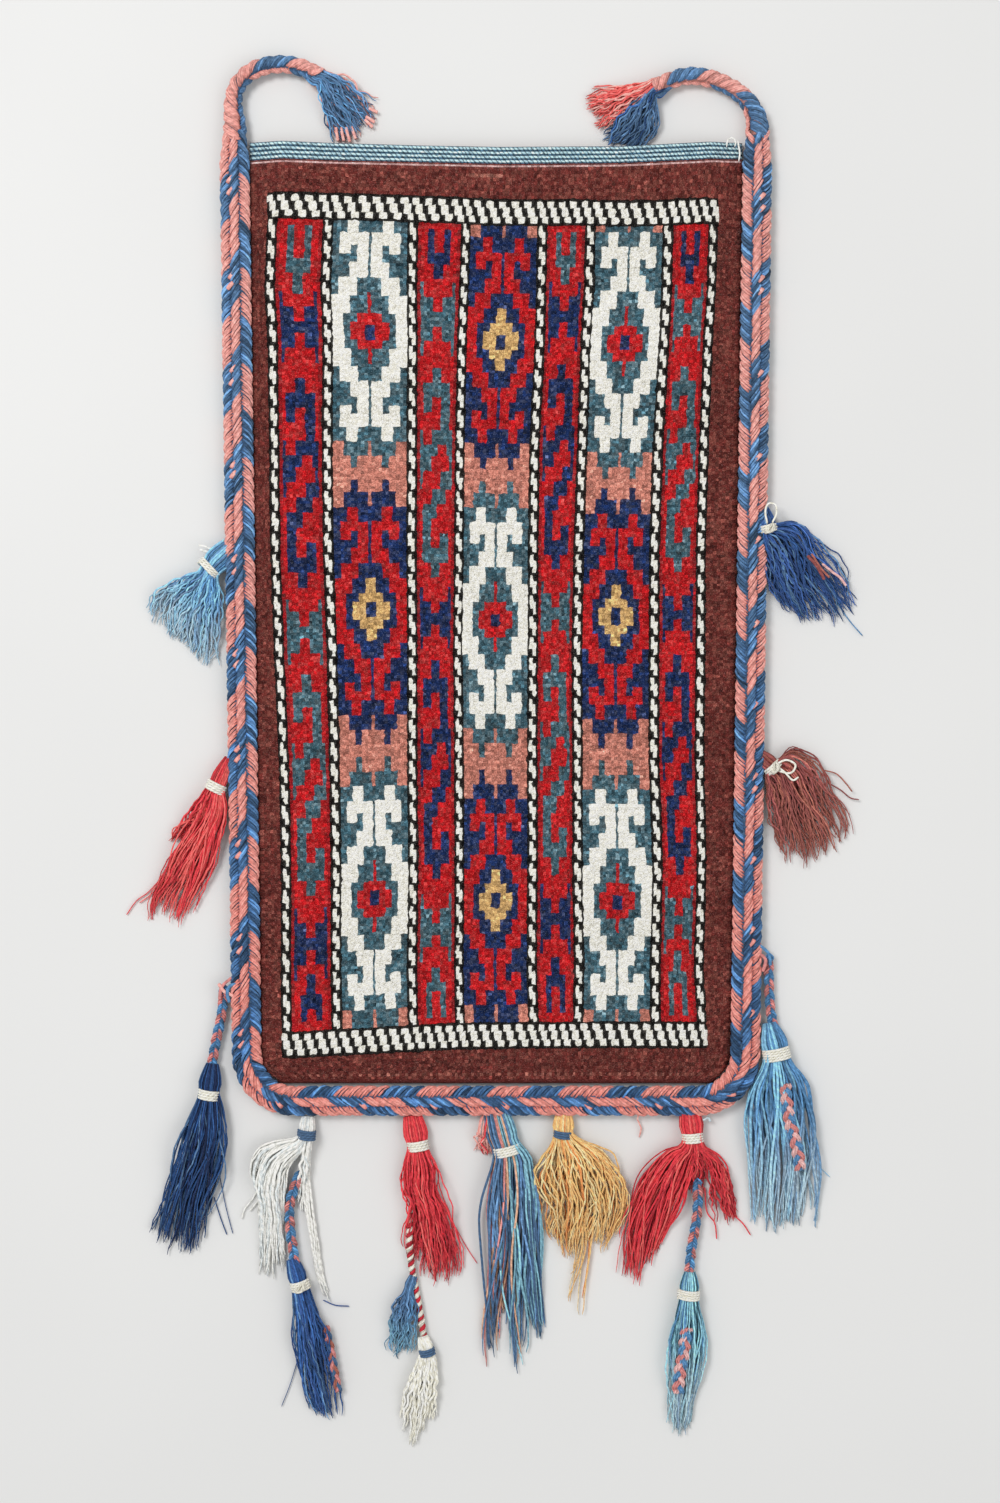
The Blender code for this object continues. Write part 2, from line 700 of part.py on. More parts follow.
def corded_side_tassels():
    """The lowest tassel on each side, which hangs on a plaited cord beside the edge."""
    beside = TOUCH_GAP + CORD_DIAMETER / 2
    height = CORD_DIAMETER / 2
    start = seat_on_side(-1, 0.8979, clear=beside)
    left_end = lay_cord("cord_left_lower", start, height,
                        [(0, 0), (-0.6, -10), (-2.0, -19), (-4.4, -30), (-6.2, -41), (-6.8, -48)],
                        CORD_DIAMETER)
    navy = Bundle(left_end,
                  [(0, -0.3), (-0.6, -6), (-1.3, -13), (-3.5, -30), (-7, -49), (-13.5, -72), (-18.5, -95)],
                  head=11.5, neck_at=11.0, neck=9.5, height=12.0, root_width=7.0,
                  skirt=((0.15, 20), (0.45, 26), (0.75, 28), (1, 28)))
    navy.build("tassel_left_lower", wool("ink_yarn", INK))
    navy.wrap("wrap_left_lower", wool("white_yarn", WOOL_WHITE))

    start = seat_on_side(1, 0.8651, clear=beside)
    right_end = lay_cord("cord_right_lower", start, height,
                         [(0, 0), (0.1, -10), (0.4, -20), (1.2, -30), (2.6, -38), (4.2, -44)], CORD_DIAMETER)
    sky = Bundle(right_end,
                 [(0, -0.3), (1.0, -5), (2.6, -11), (4.5, -22), (6.5, -41), (7.2, -71), (8.0, -108)],
                 head=13.0, neck_at=10.5, neck=13.0, neck_height=10.0, height=13.0, root_width=7.0,
                 wrap_length=7.0, skirt=((0.12, 24), (0.35, 34), (0.7, 38), (1, 36)))
    sky.build("tassel_right_lower", wool("sky_yarn", SKY))
    sky.wrap("wrap_right_lower", wool("white_yarn", WOOL_WHITE))


def lay_cord(name, start, height, offsets, diameter):
    """Builds a short cord from a start and its route's offsets in mm, and gives its far end."""
    flat = np.array(offsets) * MM + start
    route = np.column_stack([flat, np.full(len(flat), height)])
    cord(name, route, diameter, wool("cord_pink", CORD_PINK))
    return flat[-1]


def foot_tassels():
    """The five tassels along the foot, three of them with a second tassel on a cord."""
    ivory = Bundle(
        seat_on_foot(-0.8164),
        [(0, 0), (0, -5), (-0.3, -10.5), (-8, -18.5), (-20.5, -32), (-21, -46), (-19.5, -68), (-19, -95)],
        head=7.5, neck_at=8.5, neck=8.0, height=11.0, root_width=6.5,
        skirt=((0.1, 15), (0.28, 21), (0.45, 15), (0.7, 13), (1, 13)))
    body = ivory.build("tassel_foot_1", wool("pale_yarn", PALE))
    strand = Bundle(
        ivory.root + np.array([0.6, -8.0]) * MM,
        [(0, 0), (0.1, -5), (3.4, -12), (4.6, -22), (2.6, -40), (3.6, -58), (7.0, -76), (10.0, -88)],
        head=5.0, neck_at=5.0, neck=5.0, height=6.0, root_width=3.0, wrap_length=1.0,
        skirt=((0.2, 5.5), (0.5, 5), (1, 5)))
    with_lobe(body, strand.build("tassel_foot_1_strand", wool("pale_yarn", PALE)))
    ivory.wrap("wrap_foot_1", wool("slate_yarn", SLATE))
    end = lay_cord("cord_foot_1", ivory.root, CORD_DIAMETER / 2,
                   [(-4.4, -31.5), (-6.8, -39.5), (-9.4, -48), (-9.3, -60), (-8.0, -71), (-6.6, -81)],
                   CORD_DIAMETER)
    ink = Bundle(end, [(0, -0.3), (0.8, -5), (2.0, -11), (4.5, -22), (9.5, -42), (14.5, -62), (19, -82)],
                 head=9.5, neck_at=10.5, neck=8.5, height=11.0, root_width=6.5,
                 skirt=((0.15, 14), (0.45, 19), (0.75, 19), (1, 18)))
    ink.build("tassel_foot_1_low", wool("deep_blue_yarn", DEEP_BLUE))
    ink.wrap("wrap_foot_1_low", wool("cream_yarn", WOOL_WHITE))

    red = Bundle(
        seat_on_foot(-0.3398),
        [(0, 0), (0.1, -5), (0.6, -14), (2.6, -29), (6, -43), (12.5, -58), (16, -74), (17.5, -94)],
        head=12.0, neck_at=15.0, neck=9.5, height=13.0, root_width=10.0,
        skirt=((0.16, 20), (0.36, 17), (0.55, 22), (0.8, 24), (1, 20)))
    red.build("tassel_foot_2", wool("coral_yarn", CORAL))
    red.wrap("wrap_foot_2", wool("cream_yarn", WOOL_WHITE))
    end = lay_cord("cord_foot_2", red.root, TWIST_DIAMETER / 2,
                   [(-2.5, -46.5), (-4.2, -60), (-4.0, -76), (-1.6, -92), (1.0, -106), (4.0, -124)],
                   TWIST_DIAMETER)
    small = Bundle(red.root + np.array([-6.9, -89.0]) * MM, [(0, 0), (-1.6, -7), (-3.6, -20), (-5.0, -43)],
                   head=5.5, neck_at=4.0, neck=5.0, height=9.0, root_width=4.0, wrap_length=1.0,
                   skirt=((0.3, 12), (0.7, 15), (1, 16)))
    small.build("tassel_foot_2_small", wool("sky_yarn", SKY))
    pale = Bundle(end, [(0, -0.3), (0.9, -5), (1.0, -12), (-1.0, -28), (-4.0, -45), (-6.0, -59)],
                  head=6.5, neck_at=5.5, neck=6.5, height=9.0, root_width=5.0, wrap_length=3.5,
                  skirt=((0.2, 13), (0.5, 17), (0.8, 15), (1, 12)))
    pale.build("tassel_foot_2_low", wool("pale_yarn", PALE))
    pale.wrap("wrap_foot_2_low", wool("slate_yarn", SLATE))

    blue = Bundle(
        seat_on_foot(0.0195),
        [(0, 0), (0.1, -5), (2.6, -12), (4.4, -20), (5.4, -32), (5.8, -60), (5.4, -100), (5.6, -142)],
        head=15.0, neck_at=18.5, neck=13.0, neck_height=10.0, height=12.0, root_width=14.0,
        wrap_length=5.0, skirt=((0.08, 19), (0.25, 26), (0.6, 28), (1, 26)))
    blue.build("tassel_foot_3", wool("sky_yarn", SKY))
    blue.wrap("wrap_foot_3", wool("white_yarn", WOOL_WHITE))
    tuft = Bundle(seat_on_foot(-0.0625), [(0, 0), (-0.1, -4), (-1.6, -13), (-2.6, -22)],
                  head=6.0, neck_at=6.0, neck=6.5, height=8.0, root_width=4.0, wrap_length=1.0,
                  skirt=((0.5, 8.5), (1, 7)))
    tuft.build("tuft_foot_3", wool("plait_salmon", SALMON))

    ochre = Bundle(
        seat_on_foot(0.2930),
        [(0, 0), (-0.4, -9), (3.0, -19), (9.5, -38), (9.5, -56), (7.6, -74), (6.5, -106)],
        head=10.5, neck_at=9.0, neck=8.0, height=14.0, root_width=8.0, wrap_length=4.0,
        skirt=((0.1, 24), (0.28, 42), (0.5, 40), (0.66, 26), (1, 12)))
    ochre.build("tassel_foot_4", wool("ochre_yarn", OCHRE))
    ochre.wrap("wrap_foot_4", wool("slate_yarn", SLATE))

    coral = Bundle(
        seat_on_foot(0.8336),
        [(0, 0), (0.1, -5), (0.6, -12.5), (-7, -25), (-16.5, -42), (-24.5, -64), (-31, -88)],
        head=12.5, neck_at=13.0, neck=9.5, height=13.0, root_width=10.0,
        skirt=((0.12, 18), (0.35, 24), (0.7, 23), (1, 19)))
    body = coral.build("tassel_foot_5", wool("coral_yarn", CORAL))
    lobe = Bundle(
        coral.root + np.array([0.4, -11.0]) * MM,
        [(0, 0), (0.2, -7.0), (6.6, -13.5), (13.6, -22), (19.1, -40), (21.6, -56)],
        head=4.5, neck_at=6.0, neck=4.5, height=10.0, root_width=4.0, wrap_length=1.0,
        skirt=((0.25, 12), (0.6, 13), (1, 10)))
    with_lobe(body, lobe.build("tassel_foot_5_lobe", wool("coral_yarn", CORAL)))
    coral.wrap("wrap_foot_5", wool("cream_yarn", WOOL_WHITE))
    end = lay_cord("cord_foot_5", coral.root, CORD_DIAMETER / 2,
                   [(4.4, -36), (4.9, -46), (3.8, -58), (1.8, -70), (0.4, -80), (0.0, -88)], CORD_DIAMETER)
    teal = Bundle(end,
                  [(0, -0.3), (-0.4, -5), (-0.6, -12), (-0.8, -25), (-1.4, -50), (-3.0, -72), (-6.0, -90)],
                  head=10.5, neck_at=10.0, neck=10.0, height=11.0, root_width=6.5,
                  skirt=((0.15, 17), (0.4, 22), (0.7, 18), (1, 14)))
    teal.build("tassel_foot_5_low", wool("teal_yarn", TEAL_BLUE))
    teal.wrap("wrap_foot_5_low", wool("cream_yarn", WOOL_WHITE))


def ties():
    """The plait's two free ends, each curled in over the mouth and ending in its own tuft of yarn."""
    top = WOVEN_LENGTH / 2 + PLAIT_OVERHANG + TOUCH_GAP
    side = MOUTH_WIDTH / 2 + TOUCH_GAP + PLAIT_WIDTH / 2
    level = PLAIT_THICKNESS / 2
    left_start = np.array([-side, top])
    left = np.array([(0, 0), (-0.1, 7), (-0.7, 12), (-1.0, 18.6), (1.4, 27.6), (8.6, 35.3), (20.6, 39.4),
                     (33.8, 38.8), (44.8, 34.2)]) * MM + left_start
    right_start = np.array([side, top])
    right = np.array([(0, 0), (0.1, 7), (-1.1, 12), (-4.2, 18.2), (-11.3, 25), (-21.8, 30.4), (-33.3, 33.2),
                      (-44.9, 32.1), (-54.8, 27.7)]) * MM + right_start
    for name, flat in (("tie_left", left), ("tie_right", right)):
        height = np.full(len(flat), TIE_DIAMETER / 2)
        height[0] = level
        cord(name, np.column_stack([flat, height]), TIE_DIAMETER, wool("plait_salmon", SALMON))
    fan_left = Bundle(left[-1], [(0.3, -0.13), (4.2, -1.8), (9.5, -7), (14, -15), (19, -25)],
                      head=10.0, neck_at=4.0, neck=11.0, height=9.0, root_width=9.0, wrap_length=0.5,
                      skirt=((0.35, 17), (0.7, 27), (1, 34)))
    fan_left.build("tie_left_tuft", wool("plait_blue", PLAIT_BLUE))
    fan_right = Bundle(right[-1], [(-0.3, -0.13), (-4.2, -1.9), (-9.5, -5.5), (-17, -11.5), (-27, -18.5)],
                       head=10.0, neck_at=4.0, neck=11.0, height=9.0, root_width=9.0, wrap_length=0.5,
                       skirt=((0.35, 20), (0.7, 32), (1, 38)))
    fan_right.build("tie_right_tuft", wool("plait_blue", PLAIT_BLUE))


def main():
    """Builds the whole bag."""
    clear_scene()
    bag_cloth()
    edge_braid()
    ties()
    side_tassels()
    corded_side_tassels()
    foot_tassels()


main()
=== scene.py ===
"""Looks of the spindle bag: knotted pile, plain-woven back, plaited edge, ties and wool tassels.

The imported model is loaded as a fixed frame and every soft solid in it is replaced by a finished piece.
Lengths are metres, +Z is up, the bag lies on its back with the mouth towards +Y. Places read from the
photograph are given in its pixels (1000 x 1503) and turned into metres by on_bag. A Route holds places
one after another, two numbers for each.
"""

from __future__ import annotations

import logging
import math
from dataclasses import dataclass, field
from enum import Enum
from functools import cache
from typing import Sequence

import bpy
import numpy as np
from numpy.typing import NDArray
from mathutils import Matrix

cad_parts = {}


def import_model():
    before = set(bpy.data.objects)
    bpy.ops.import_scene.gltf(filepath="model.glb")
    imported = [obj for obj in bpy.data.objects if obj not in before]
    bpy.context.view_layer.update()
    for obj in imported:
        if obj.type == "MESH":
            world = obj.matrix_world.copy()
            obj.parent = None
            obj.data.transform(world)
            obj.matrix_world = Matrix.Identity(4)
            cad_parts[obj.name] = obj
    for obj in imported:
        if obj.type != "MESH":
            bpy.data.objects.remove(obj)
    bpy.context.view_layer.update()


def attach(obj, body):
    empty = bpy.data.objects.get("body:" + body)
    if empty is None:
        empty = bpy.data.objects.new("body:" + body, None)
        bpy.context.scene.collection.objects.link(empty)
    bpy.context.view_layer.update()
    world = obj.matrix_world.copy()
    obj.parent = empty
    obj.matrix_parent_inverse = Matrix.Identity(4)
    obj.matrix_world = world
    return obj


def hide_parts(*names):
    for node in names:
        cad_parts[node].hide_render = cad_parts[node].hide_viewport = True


Array = NDArray[np.float64]
Whole = NDArray[np.int64]
Route = tuple[float, ...]
Piece = bpy.types.Object
Socket = bpy.types.NodeSocket
Rng = np.random.Generator

TURN = 2 * math.pi
MM = 0.001
PIXEL = 0.55 * MM
CENTRE_PIXEL = (496.0, 613.0)
NECK_LIFT = 1.8
TINY = 1e-12
DARKEST = 1e-6
BRIGHTEST = 0.98

log = logging.getLogger("spindle_bag")


def on_bag(route: Route) -> Array:
    """Places of the photograph as rows of (x, y): pixels from the bag's centre times a pixel, y upwards."""
    return (np.reshape(np.array(route, dtype=float), (-1, 2)) - CENTRE_PIXEL) * (PIXEL, -PIXEL)


def lifted(route: Route, first: float, last: float) -> Array:
    """Places of the photograph as rows of (x, y, z), with heights from first to last, in millimetres."""
    flat = on_bag(route)
    return np.column_stack([flat, np.linspace(first, last, len(flat)) * MM])


def smooth_step(value: Array) -> Array:
    """Rises from 0 at 0 to 1 at 1 as 3t^2 - 2t^3, level outside."""
    held = np.clip(value, 0.0, 1.0)
    return held * held * (3.0 - 2.0 * held)


def reach_of(route: Array) -> Array:
    """Distance along a route at each of its points."""
    return np.concatenate([[0.0], np.cumsum(np.linalg.norm(np.diff(route, axis=0), axis=1))])


def resample(route: Array, samples: int) -> Array:
    """Reads a route at even steps of its length, at as many points as samples says."""
    reach = reach_of(route)
    wanted = np.linspace(0.0, reach[-1], samples)
    return np.stack([np.interp(wanted, reach, route[:, k]) for k in range(route.shape[1])], axis=1)


def curve_through(points: Array, samples: int) -> Array:
    """Draws a smooth route through chosen points.

    Each span between two points is a Catmull-Rom curve: a cubic whose slope at a point is half the step
    from the point before to the point after.

    Args:
        points: The chosen points, two or three numbers each.
        samples: How many points to give, at even steps of the route's length.

    Returns:
        The route's points.
    """
    padded = np.vstack([2 * points[0] - points[1], points, 2 * points[-1] - points[-2]])
    t = np.linspace(0.0, 1.0, 24, endpoint=False)[None, :, None]
    before, here, there, after = (padded[k:len(padded) - 3 + k, None] for k in range(4))
    spans = 0.5 * (2 * here + (there - before) * t + (2 * before - 5 * here + 4 * there - after) * t ** 2
                   + (3 * here - before - 3 * there + after) * t ** 3)
    dense = np.vstack([spans.reshape(-1, points.shape[1]), points[-1:]])
    return resample(dense, samples)


class Dye(Enum):
    """Dyes of the wool, as sRGB bytes of their lit colour."""

    MAROON = (112, 48, 43)
    MAROON_LIGHT = (172, 104, 90)
    BLACK = (9, 6, 6)
    WHITE = (255, 251, 236)
    RED = (204, 25, 31)
    DARK_RED = (166, 22, 30)
    NAVY = (24, 46, 93)
    TEAL = (66, 103, 117)
    PINK = (222, 140, 122)
    GOLD = (236, 188, 122)
    BAND_LIGHT = (196, 234, 246)
    BAND_DARK = (58, 94, 118)
    SALMON = (255, 182, 172)
    PLAIT_BLUE = (94, 130, 168)
    PALE_PINK = (236, 186, 182)
    FADED_PINK = (216, 140, 136)
    SKY = (136, 192, 224)
    SKY_DARK = (92, 142, 186)
    SKY_TIP = (204, 224, 230)
    CORAL = (228, 68, 76)
    CORAL_DARK = (186, 46, 58)
    INK = (44, 78, 128)
    INK_DARK = (26, 42, 78)
    BROWN = (144, 78, 76)
    TAN = (206, 160, 132)
    CORAL_LIGHT = (242, 106, 102)
    DEEP_INK = (58, 90, 148)
    OCHRE = (255, 202, 132)
    AMBER = (240, 156, 92)
    OCHRE_PALE = (255, 226, 170)
    WOOL_WHITE = (252, 251, 244)
    WOOL_GREY = (228, 234, 234)
    CREAM = (250, 246, 230)
    SLATE = (78, 108, 142)
    TEAL_BLUE = (140, 192, 210)
    WEFT = (118, 66, 58)

    def linear(self) -> Array:
        """The dye as linear light: the sRGB curve undone."""
        share = np.array(self.value, dtype=float) / 255.0
        return np.where(share <= 0.04045, share / 12.92, ((share + 0.055) / 1.055) ** 2.4)


Wool = tuple[tuple[Dye, float], ...]


def wool(**parts: float) -> Wool:
    """Dyes by their names, each with how common it is."""
    return tuple((Dye[name], share) for name, share in parts.items())


def linear_of(dyes: Sequence[Dye]) -> Array:
    """Linear colours of several dyes, one row each."""
    return np.array([dye.linear() for dye in dyes])


class Slot(Enum):
    """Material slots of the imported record."""

    PILE = "pile_wool"
    PLAIT = "plait_wool"
    SKY = "sky_yarn"
    CORAL = "coral_yarn"
    INK = "ink_yarn"
    DEEP_BLUE = "deep_blue_yarn"
    BROWN = "brown_yarn"
    PALE = "pale_yarn"
    OCHRE = "ochre_yarn"
    TEAL = "teal_yarn"
    WHITE = "white_yarn"
    CREAM = "cream_yarn"
    SLATE = "slate_yarn"
    CORD = "cord_yarn"


# Shader nodes

DYE_ATTRIBUTE = "dye"
YARN_UV = "yarn"


class NodeTree:
    """Short calls for building a shader tree."""

    def __init__(self, tree: bpy.types.NodeTree) -> None:
        """Takes the tree that the nodes go into."""
        self.tree = tree

    def add(self, kind: str, **settings: object) -> bpy.types.Node:
        """Adds a node of a kind, with its settings."""
        node = self.tree.nodes.new(kind)
        for name, value in settings.items():
            setattr(node, name, value)
        return node

    def feed(self, node: bpy.types.Node, socket: str | int, source: object) -> None:
        """Sets an input: a socket is linked, and a number or colour is written."""
        if isinstance(source, Socket):
            self.tree.links.new(source, node.inputs[socket])
        else:
            node.inputs[socket].default_value = source

    def math(self, operation: str, *values: object) -> Socket:
        """A Math node on numbers or sockets, and its result."""
        node = self.add("ShaderNodeMath", operation=operation)
        for place, value in enumerate(values):
            self.feed(node, place, value)
        return node.outputs[0]

    def span(self, value: object, low: float, high: float, to_low: float = 0.0,
             to_high: float = 1.0) -> Socket:
        """Maps low..high of a value to another range, smoothly and held at its ends."""
        node = self.add("ShaderNodeMapRange", interpolation_type="SMOOTHSTEP")
        for place, part in enumerate((value, low, high, to_low, to_high)):
            self.feed(node, place, part)
        return node.outputs[0]

    def noise(self, place: object, scale: float, detail: float = 2.0) -> Socket:
        """Noise from 0 to 1 at a place, with features of about one over scale."""
        node = self.add("ShaderNodeTexNoise")
        self.feed(node, "Vector", place)
        self.feed(node, "Scale", scale)
        self.feed(node, "Detail", detail)
        return node.outputs["Fac"]

    def tint(self, colour: object, factor: object) -> Socket:
        """A colour times a number."""
        node = self.add("ShaderNodeVectorMath", operation="SCALE")
        self.feed(node, 0, colour)
        self.feed(node, "Scale", factor)
        return node.outputs[0]

    def mix(self, share: object, first: object, second: object) -> Socket:
        """A mix of two colours."""
        node = self.add("ShaderNodeMix", data_type="RGBA")
        self.feed(node, 0, share)
        self.feed(node, 6, first)
        self.feed(node, 7, second)
        return node.outputs[2]


def node_group(name: str, inputs: Sequence[tuple[str, str, object]],
               outputs: Sequence[tuple[str, str]]) -> tuple[NodeTree, object, object]:
    """Starts a shader node group.

    Args:
        name: The group's name.
        inputs: (name, socket type, default) of each input.
        outputs: (name, socket type) of each output.

    Returns:
        The tree's builder, its Group Input node and its Group Output node.
    """
    tree = bpy.data.node_groups.new(name, "ShaderNodeTree")
    for label, kind, default in inputs:
        tree.interface.new_socket(label, in_out="INPUT", socket_type=kind).default_value = default
    for label, kind in outputs:
        tree.interface.new_socket(label, in_out="OUTPUT", socket_type=kind)
    build = NodeTree(tree)
    return build, build.add("NodeGroupInput"), build.add("NodeGroupOutput")


@cache
def wool_fibre_group() -> bpy.types.NodeTree:
    """Fine fibre on any wool: paler stray fibres, painted shade in the gaps between fibres and a fuzzy
    height.
    """
    build, given, out = node_group(
        "wool_fibre",
        [("Dye", "NodeSocketColor", (0.5, 0.5, 0.5, 1.0)), ("Fleck", "NodeSocketFloat", 0.5)],
        [("Color", "NodeSocketColor"), ("Height", "NodeSocketFloat")])
    place = build.add("ShaderNodeTexCoord").outputs["Object"]
    fine = build.noise(place, 1900.0)
    broad = build.noise(place, 620.0)
    depth = build.math("MULTIPLY", given.outputs["Fleck"], 1.2)
    # Painted shade: darker where the fine noise is low, in the gaps between fibres.
    gaps = build.math("MULTIPLY_ADD", build.span(fine, 0.30, 0.52, -1.0, 0.0), depth, 1.0)
    pale = build.math("MULTIPLY", build.span(fine, 0.56, 0.72), given.outputs["Fleck"])
    dyed = build.tint(given.outputs["Dye"], build.math("MULTIPLY_ADD", pale, 2.0, 1.0))
    dyed = build.mix(build.math("MULTIPLY", pale, 0.30), dyed, (0.80, 0.78, 0.74, 1.0))
    patchy = build.span(broad, 0.25, 0.75, 0.84, 1.16)
    held = build.add("ShaderNodeVectorMath", operation="MINIMUM")
    build.feed(held, 0, build.tint(build.tint(dyed, gaps), patchy))
    build.feed(held, 1, (0.94, 0.93, 0.90))
    build.feed(out, "Color", held.outputs[0])
    build.feed(out, "Height", build.math("ADD", fine, broad))
    return build.tree


@cache
def yarn_line_group() -> bpy.types.NodeTree:
    """Lines of twisted yarn across a piece's own map: a crest value, 0 in the grooves and 1 on the crests,
    for painted shade and painted highlight.
    """
    build, given, out = node_group(
        "yarn_lines",
        [("Around", "NodeSocketFloat", 2.0), ("Along", "NodeSocketFloat", 200.0),
         ("Wander", "NodeSocketFloat", 0.6)],
        [("Crest", "NodeSocketFloat")])
    parts = build.add("ShaderNodeSeparateXYZ")
    build.feed(parts, 0, build.add("ShaderNodeUVMap", uv_map=YARN_UV).outputs[0])
    turns = build.math("MULTIPLY", parts.outputs[0], given.outputs["Around"])
    steps = build.math("MULTIPLY", parts.outputs[1], given.outputs["Along"])
    place = build.add("ShaderNodeTexCoord").outputs["Object"]
    wander = build.math("MULTIPLY", build.math("SUBTRACT", build.noise(place, 260.0), 0.5),
                        given.outputs["Wander"])
    phase = build.math("ADD", build.math("ADD", turns, steps), wander)
    wave = build.math("SINE", build.math("MULTIPLY", phase, TURN))
    build.feed(out, "Crest", build.math("MULTIPLY_ADD", wave, 0.5, 0.5))
    return build.tree


@cache
def tuft_group() -> bpy.types.NodeTree:
    """Cut tufts of knotted pile: a rounded cell a knot, with painted shade in the gaps between the cells and
    along the lines between rows.
    """
    build, given, out = node_group(
        "pile_tufts", [("Depth", "NodeSocketFloat", 0.30)],
        [("Shade", "NodeSocketFloat"), ("Height", "NodeSocketFloat")])
    place = build.add("ShaderNodeUVMap", uv_map=YARN_UV).outputs[0]
    cells = build.add("ShaderNodeTexVoronoi")
    build.feed(cells, "Vector", place)
    build.feed(cells, "Scale", 1.9)
    dome = build.span(cells.outputs["Distance"], 0.10, 0.85, 1.0, 0.0)
    parts = build.add("ShaderNodeSeparateXYZ")
    build.feed(parts, 0, place)
    row = build.math("ABSOLUTE", build.math("SINE", build.math("MULTIPLY", parts.outputs[1], math.pi)))
    # Painted shade: darker towards each tuft's edge, by Depth; each cell also gets its own random tone.
    dark = build.math("MULTIPLY_ADD", build.math("SUBTRACT", dome, 1.0), given.outputs["Depth"], 1.0)
    own = build.add("ShaderNodeSeparateXYZ")
    build.feed(own, 0, cells.outputs["Color"])
    dark = build.math("MULTIPLY", dark, build.span(own.outputs[0], 0.0, 1.0, 0.80, 1.20))
    # Painted shade along the lines between rows of knots.
    build.feed(out, "Shade", build.math("MULTIPLY", dark, build.span(row, 0.0, 0.6, 0.86, 1.0)))
    build.feed(out, "Height", dome)
    return build.tree


@dataclass(frozen=True)
class WoolFinish:
    """A wool finish: dyed by the piece's own dye attribute, with fibre, yarn lines or tufts.

    Attributes:
        gloss: The shader's specular level.
        fleck: How many pale fibres show.
        lines_around: Yarn lines round a tube's section.
        lines_along: Yarn lines a metre (or a stitch) along the map.
        groove: How dark the painted shade in the grooves between yarn lines is.
        highlight: How pale the painted highlight on the crests is.
        tufts: Whether the surface is cut pile.
        bump: Depth of the relief, in metres.
    """

    name: str
    roughness: float = 0.85
    sheen: float = 0.10
    gloss: float = 0.12
    fleck: float = 0.25
    lines_around: float = 2.0
    lines_along: float = 0.0
    groove: float = 0.35
    highlight: float = 0.0
    tufts: bool = False
    bump: float = 0.35 * MM

    @cache
    def material(self) -> bpy.types.Material:
        """The material, made on the first call."""
        made = bpy.data.materials.new(self.name)
        made.use_nodes = True
        build = NodeTree(made.node_tree)
        shader = made.node_tree.nodes["Principled BSDF"]
        dye = build.add("ShaderNodeAttribute", attribute_name=DYE_ATTRIBUTE).outputs["Color"]
        fibre = build.add("ShaderNodeGroup", node_tree=wool_fibre_group())
        build.feed(fibre, "Fleck", self.fleck)
        height = fibre.outputs["Height"]
        if self.tufts:
            tufts = build.add("ShaderNodeGroup", node_tree=tuft_group())
            # Painted shade between the tufts.
            dye = build.tint(dye, tufts.outputs["Shade"])
            height = build.math("MULTIPLY_ADD", height, 0.6, tufts.outputs["Height"])
        if self.lines_along:
            lines = build.add("ShaderNodeGroup", node_tree=yarn_line_group())
            build.feed(lines, "Around", self.lines_around)
            build.feed(lines, "Along", self.lines_along)
            crest = lines.outputs["Crest"]
            # Painted shade in the grooves and painted highlight on the crests of the yarn lines.
            dye = build.tint(dye, build.span(crest, 0.0, 0.55, 1.0 - self.groove, 1.0))
            dye = build.tint(dye, build.span(crest, 0.70, 1.0, 1.0, 1.0 + self.highlight))
            height = build.math("MULTIPLY_ADD", height, 0.5, crest)
        build.feed(fibre, "Dye", dye)
        bump = build.add("ShaderNodeBump")
        build.feed(bump, "Strength", 0.8)
        build.feed(bump, "Distance", self.bump)
        build.feed(bump, "Height", height)
        for socket, value in (("Base Color", fibre.outputs["Color"]), ("Normal", bump.outputs[0]),
                              ("Roughness", self.roughness), ("Sheen Weight", self.sheen),
                              ("Sheen Roughness", 0.6), ("Specular IOR Level", self.gloss)):
            build.feed(shader, socket, value)
        return made


PILE_FINISH = WoolFinish("knotted_pile", sheen=0.02, gloss=0.04, fleck=0.35, tufts=True, bump=0.6 * MM)
WEAVE_FINISH = WoolFinish("plain_weave", fleck=0.2, lines_around=0.5, lines_along=0.5, groove=0.5)
BAND_FINISH = WoolFinish("mouth_band", fleck=0.3, lines_around=0.70, lines_along=0.18, groove=0.66)
PLAIT_FINISH = WoolFinish("plaited_yarn", sheen=0.08, fleck=0.14, lines_around=1.0, lines_along=260.0,
                          groove=0.12, highlight=0.14, bump=0.12 * MM)
YARN_FINISH = WoolFinish("plied_yarn", sheen=0.08, fleck=0.14, lines_around=1.0, lines_along=230.0,
                         groove=0.14, highlight=0.14, bump=0.12 * MM)
BINDING_FINISH = WoolFinish("binding_yarn", fleck=0.10, lines_around=2.0, lines_along=420.0, groove=0.25)


# Meshes

UPRIGHT = 1e-4
# Painted shade on the faces that close the ends of a tube.
END_SHADE = 0.85
START_TAPER = 0.6
END_TAPER = 0.55
LINE_SHIFT = 1.7 * MM


def linked(name: str, data: bpy.types.ID) -> Piece:
    """An object of some data, put into the scene."""
    obj = bpy.data.objects.new(name, data)
    bpy.context.scene.collection.objects.link(obj)
    return obj


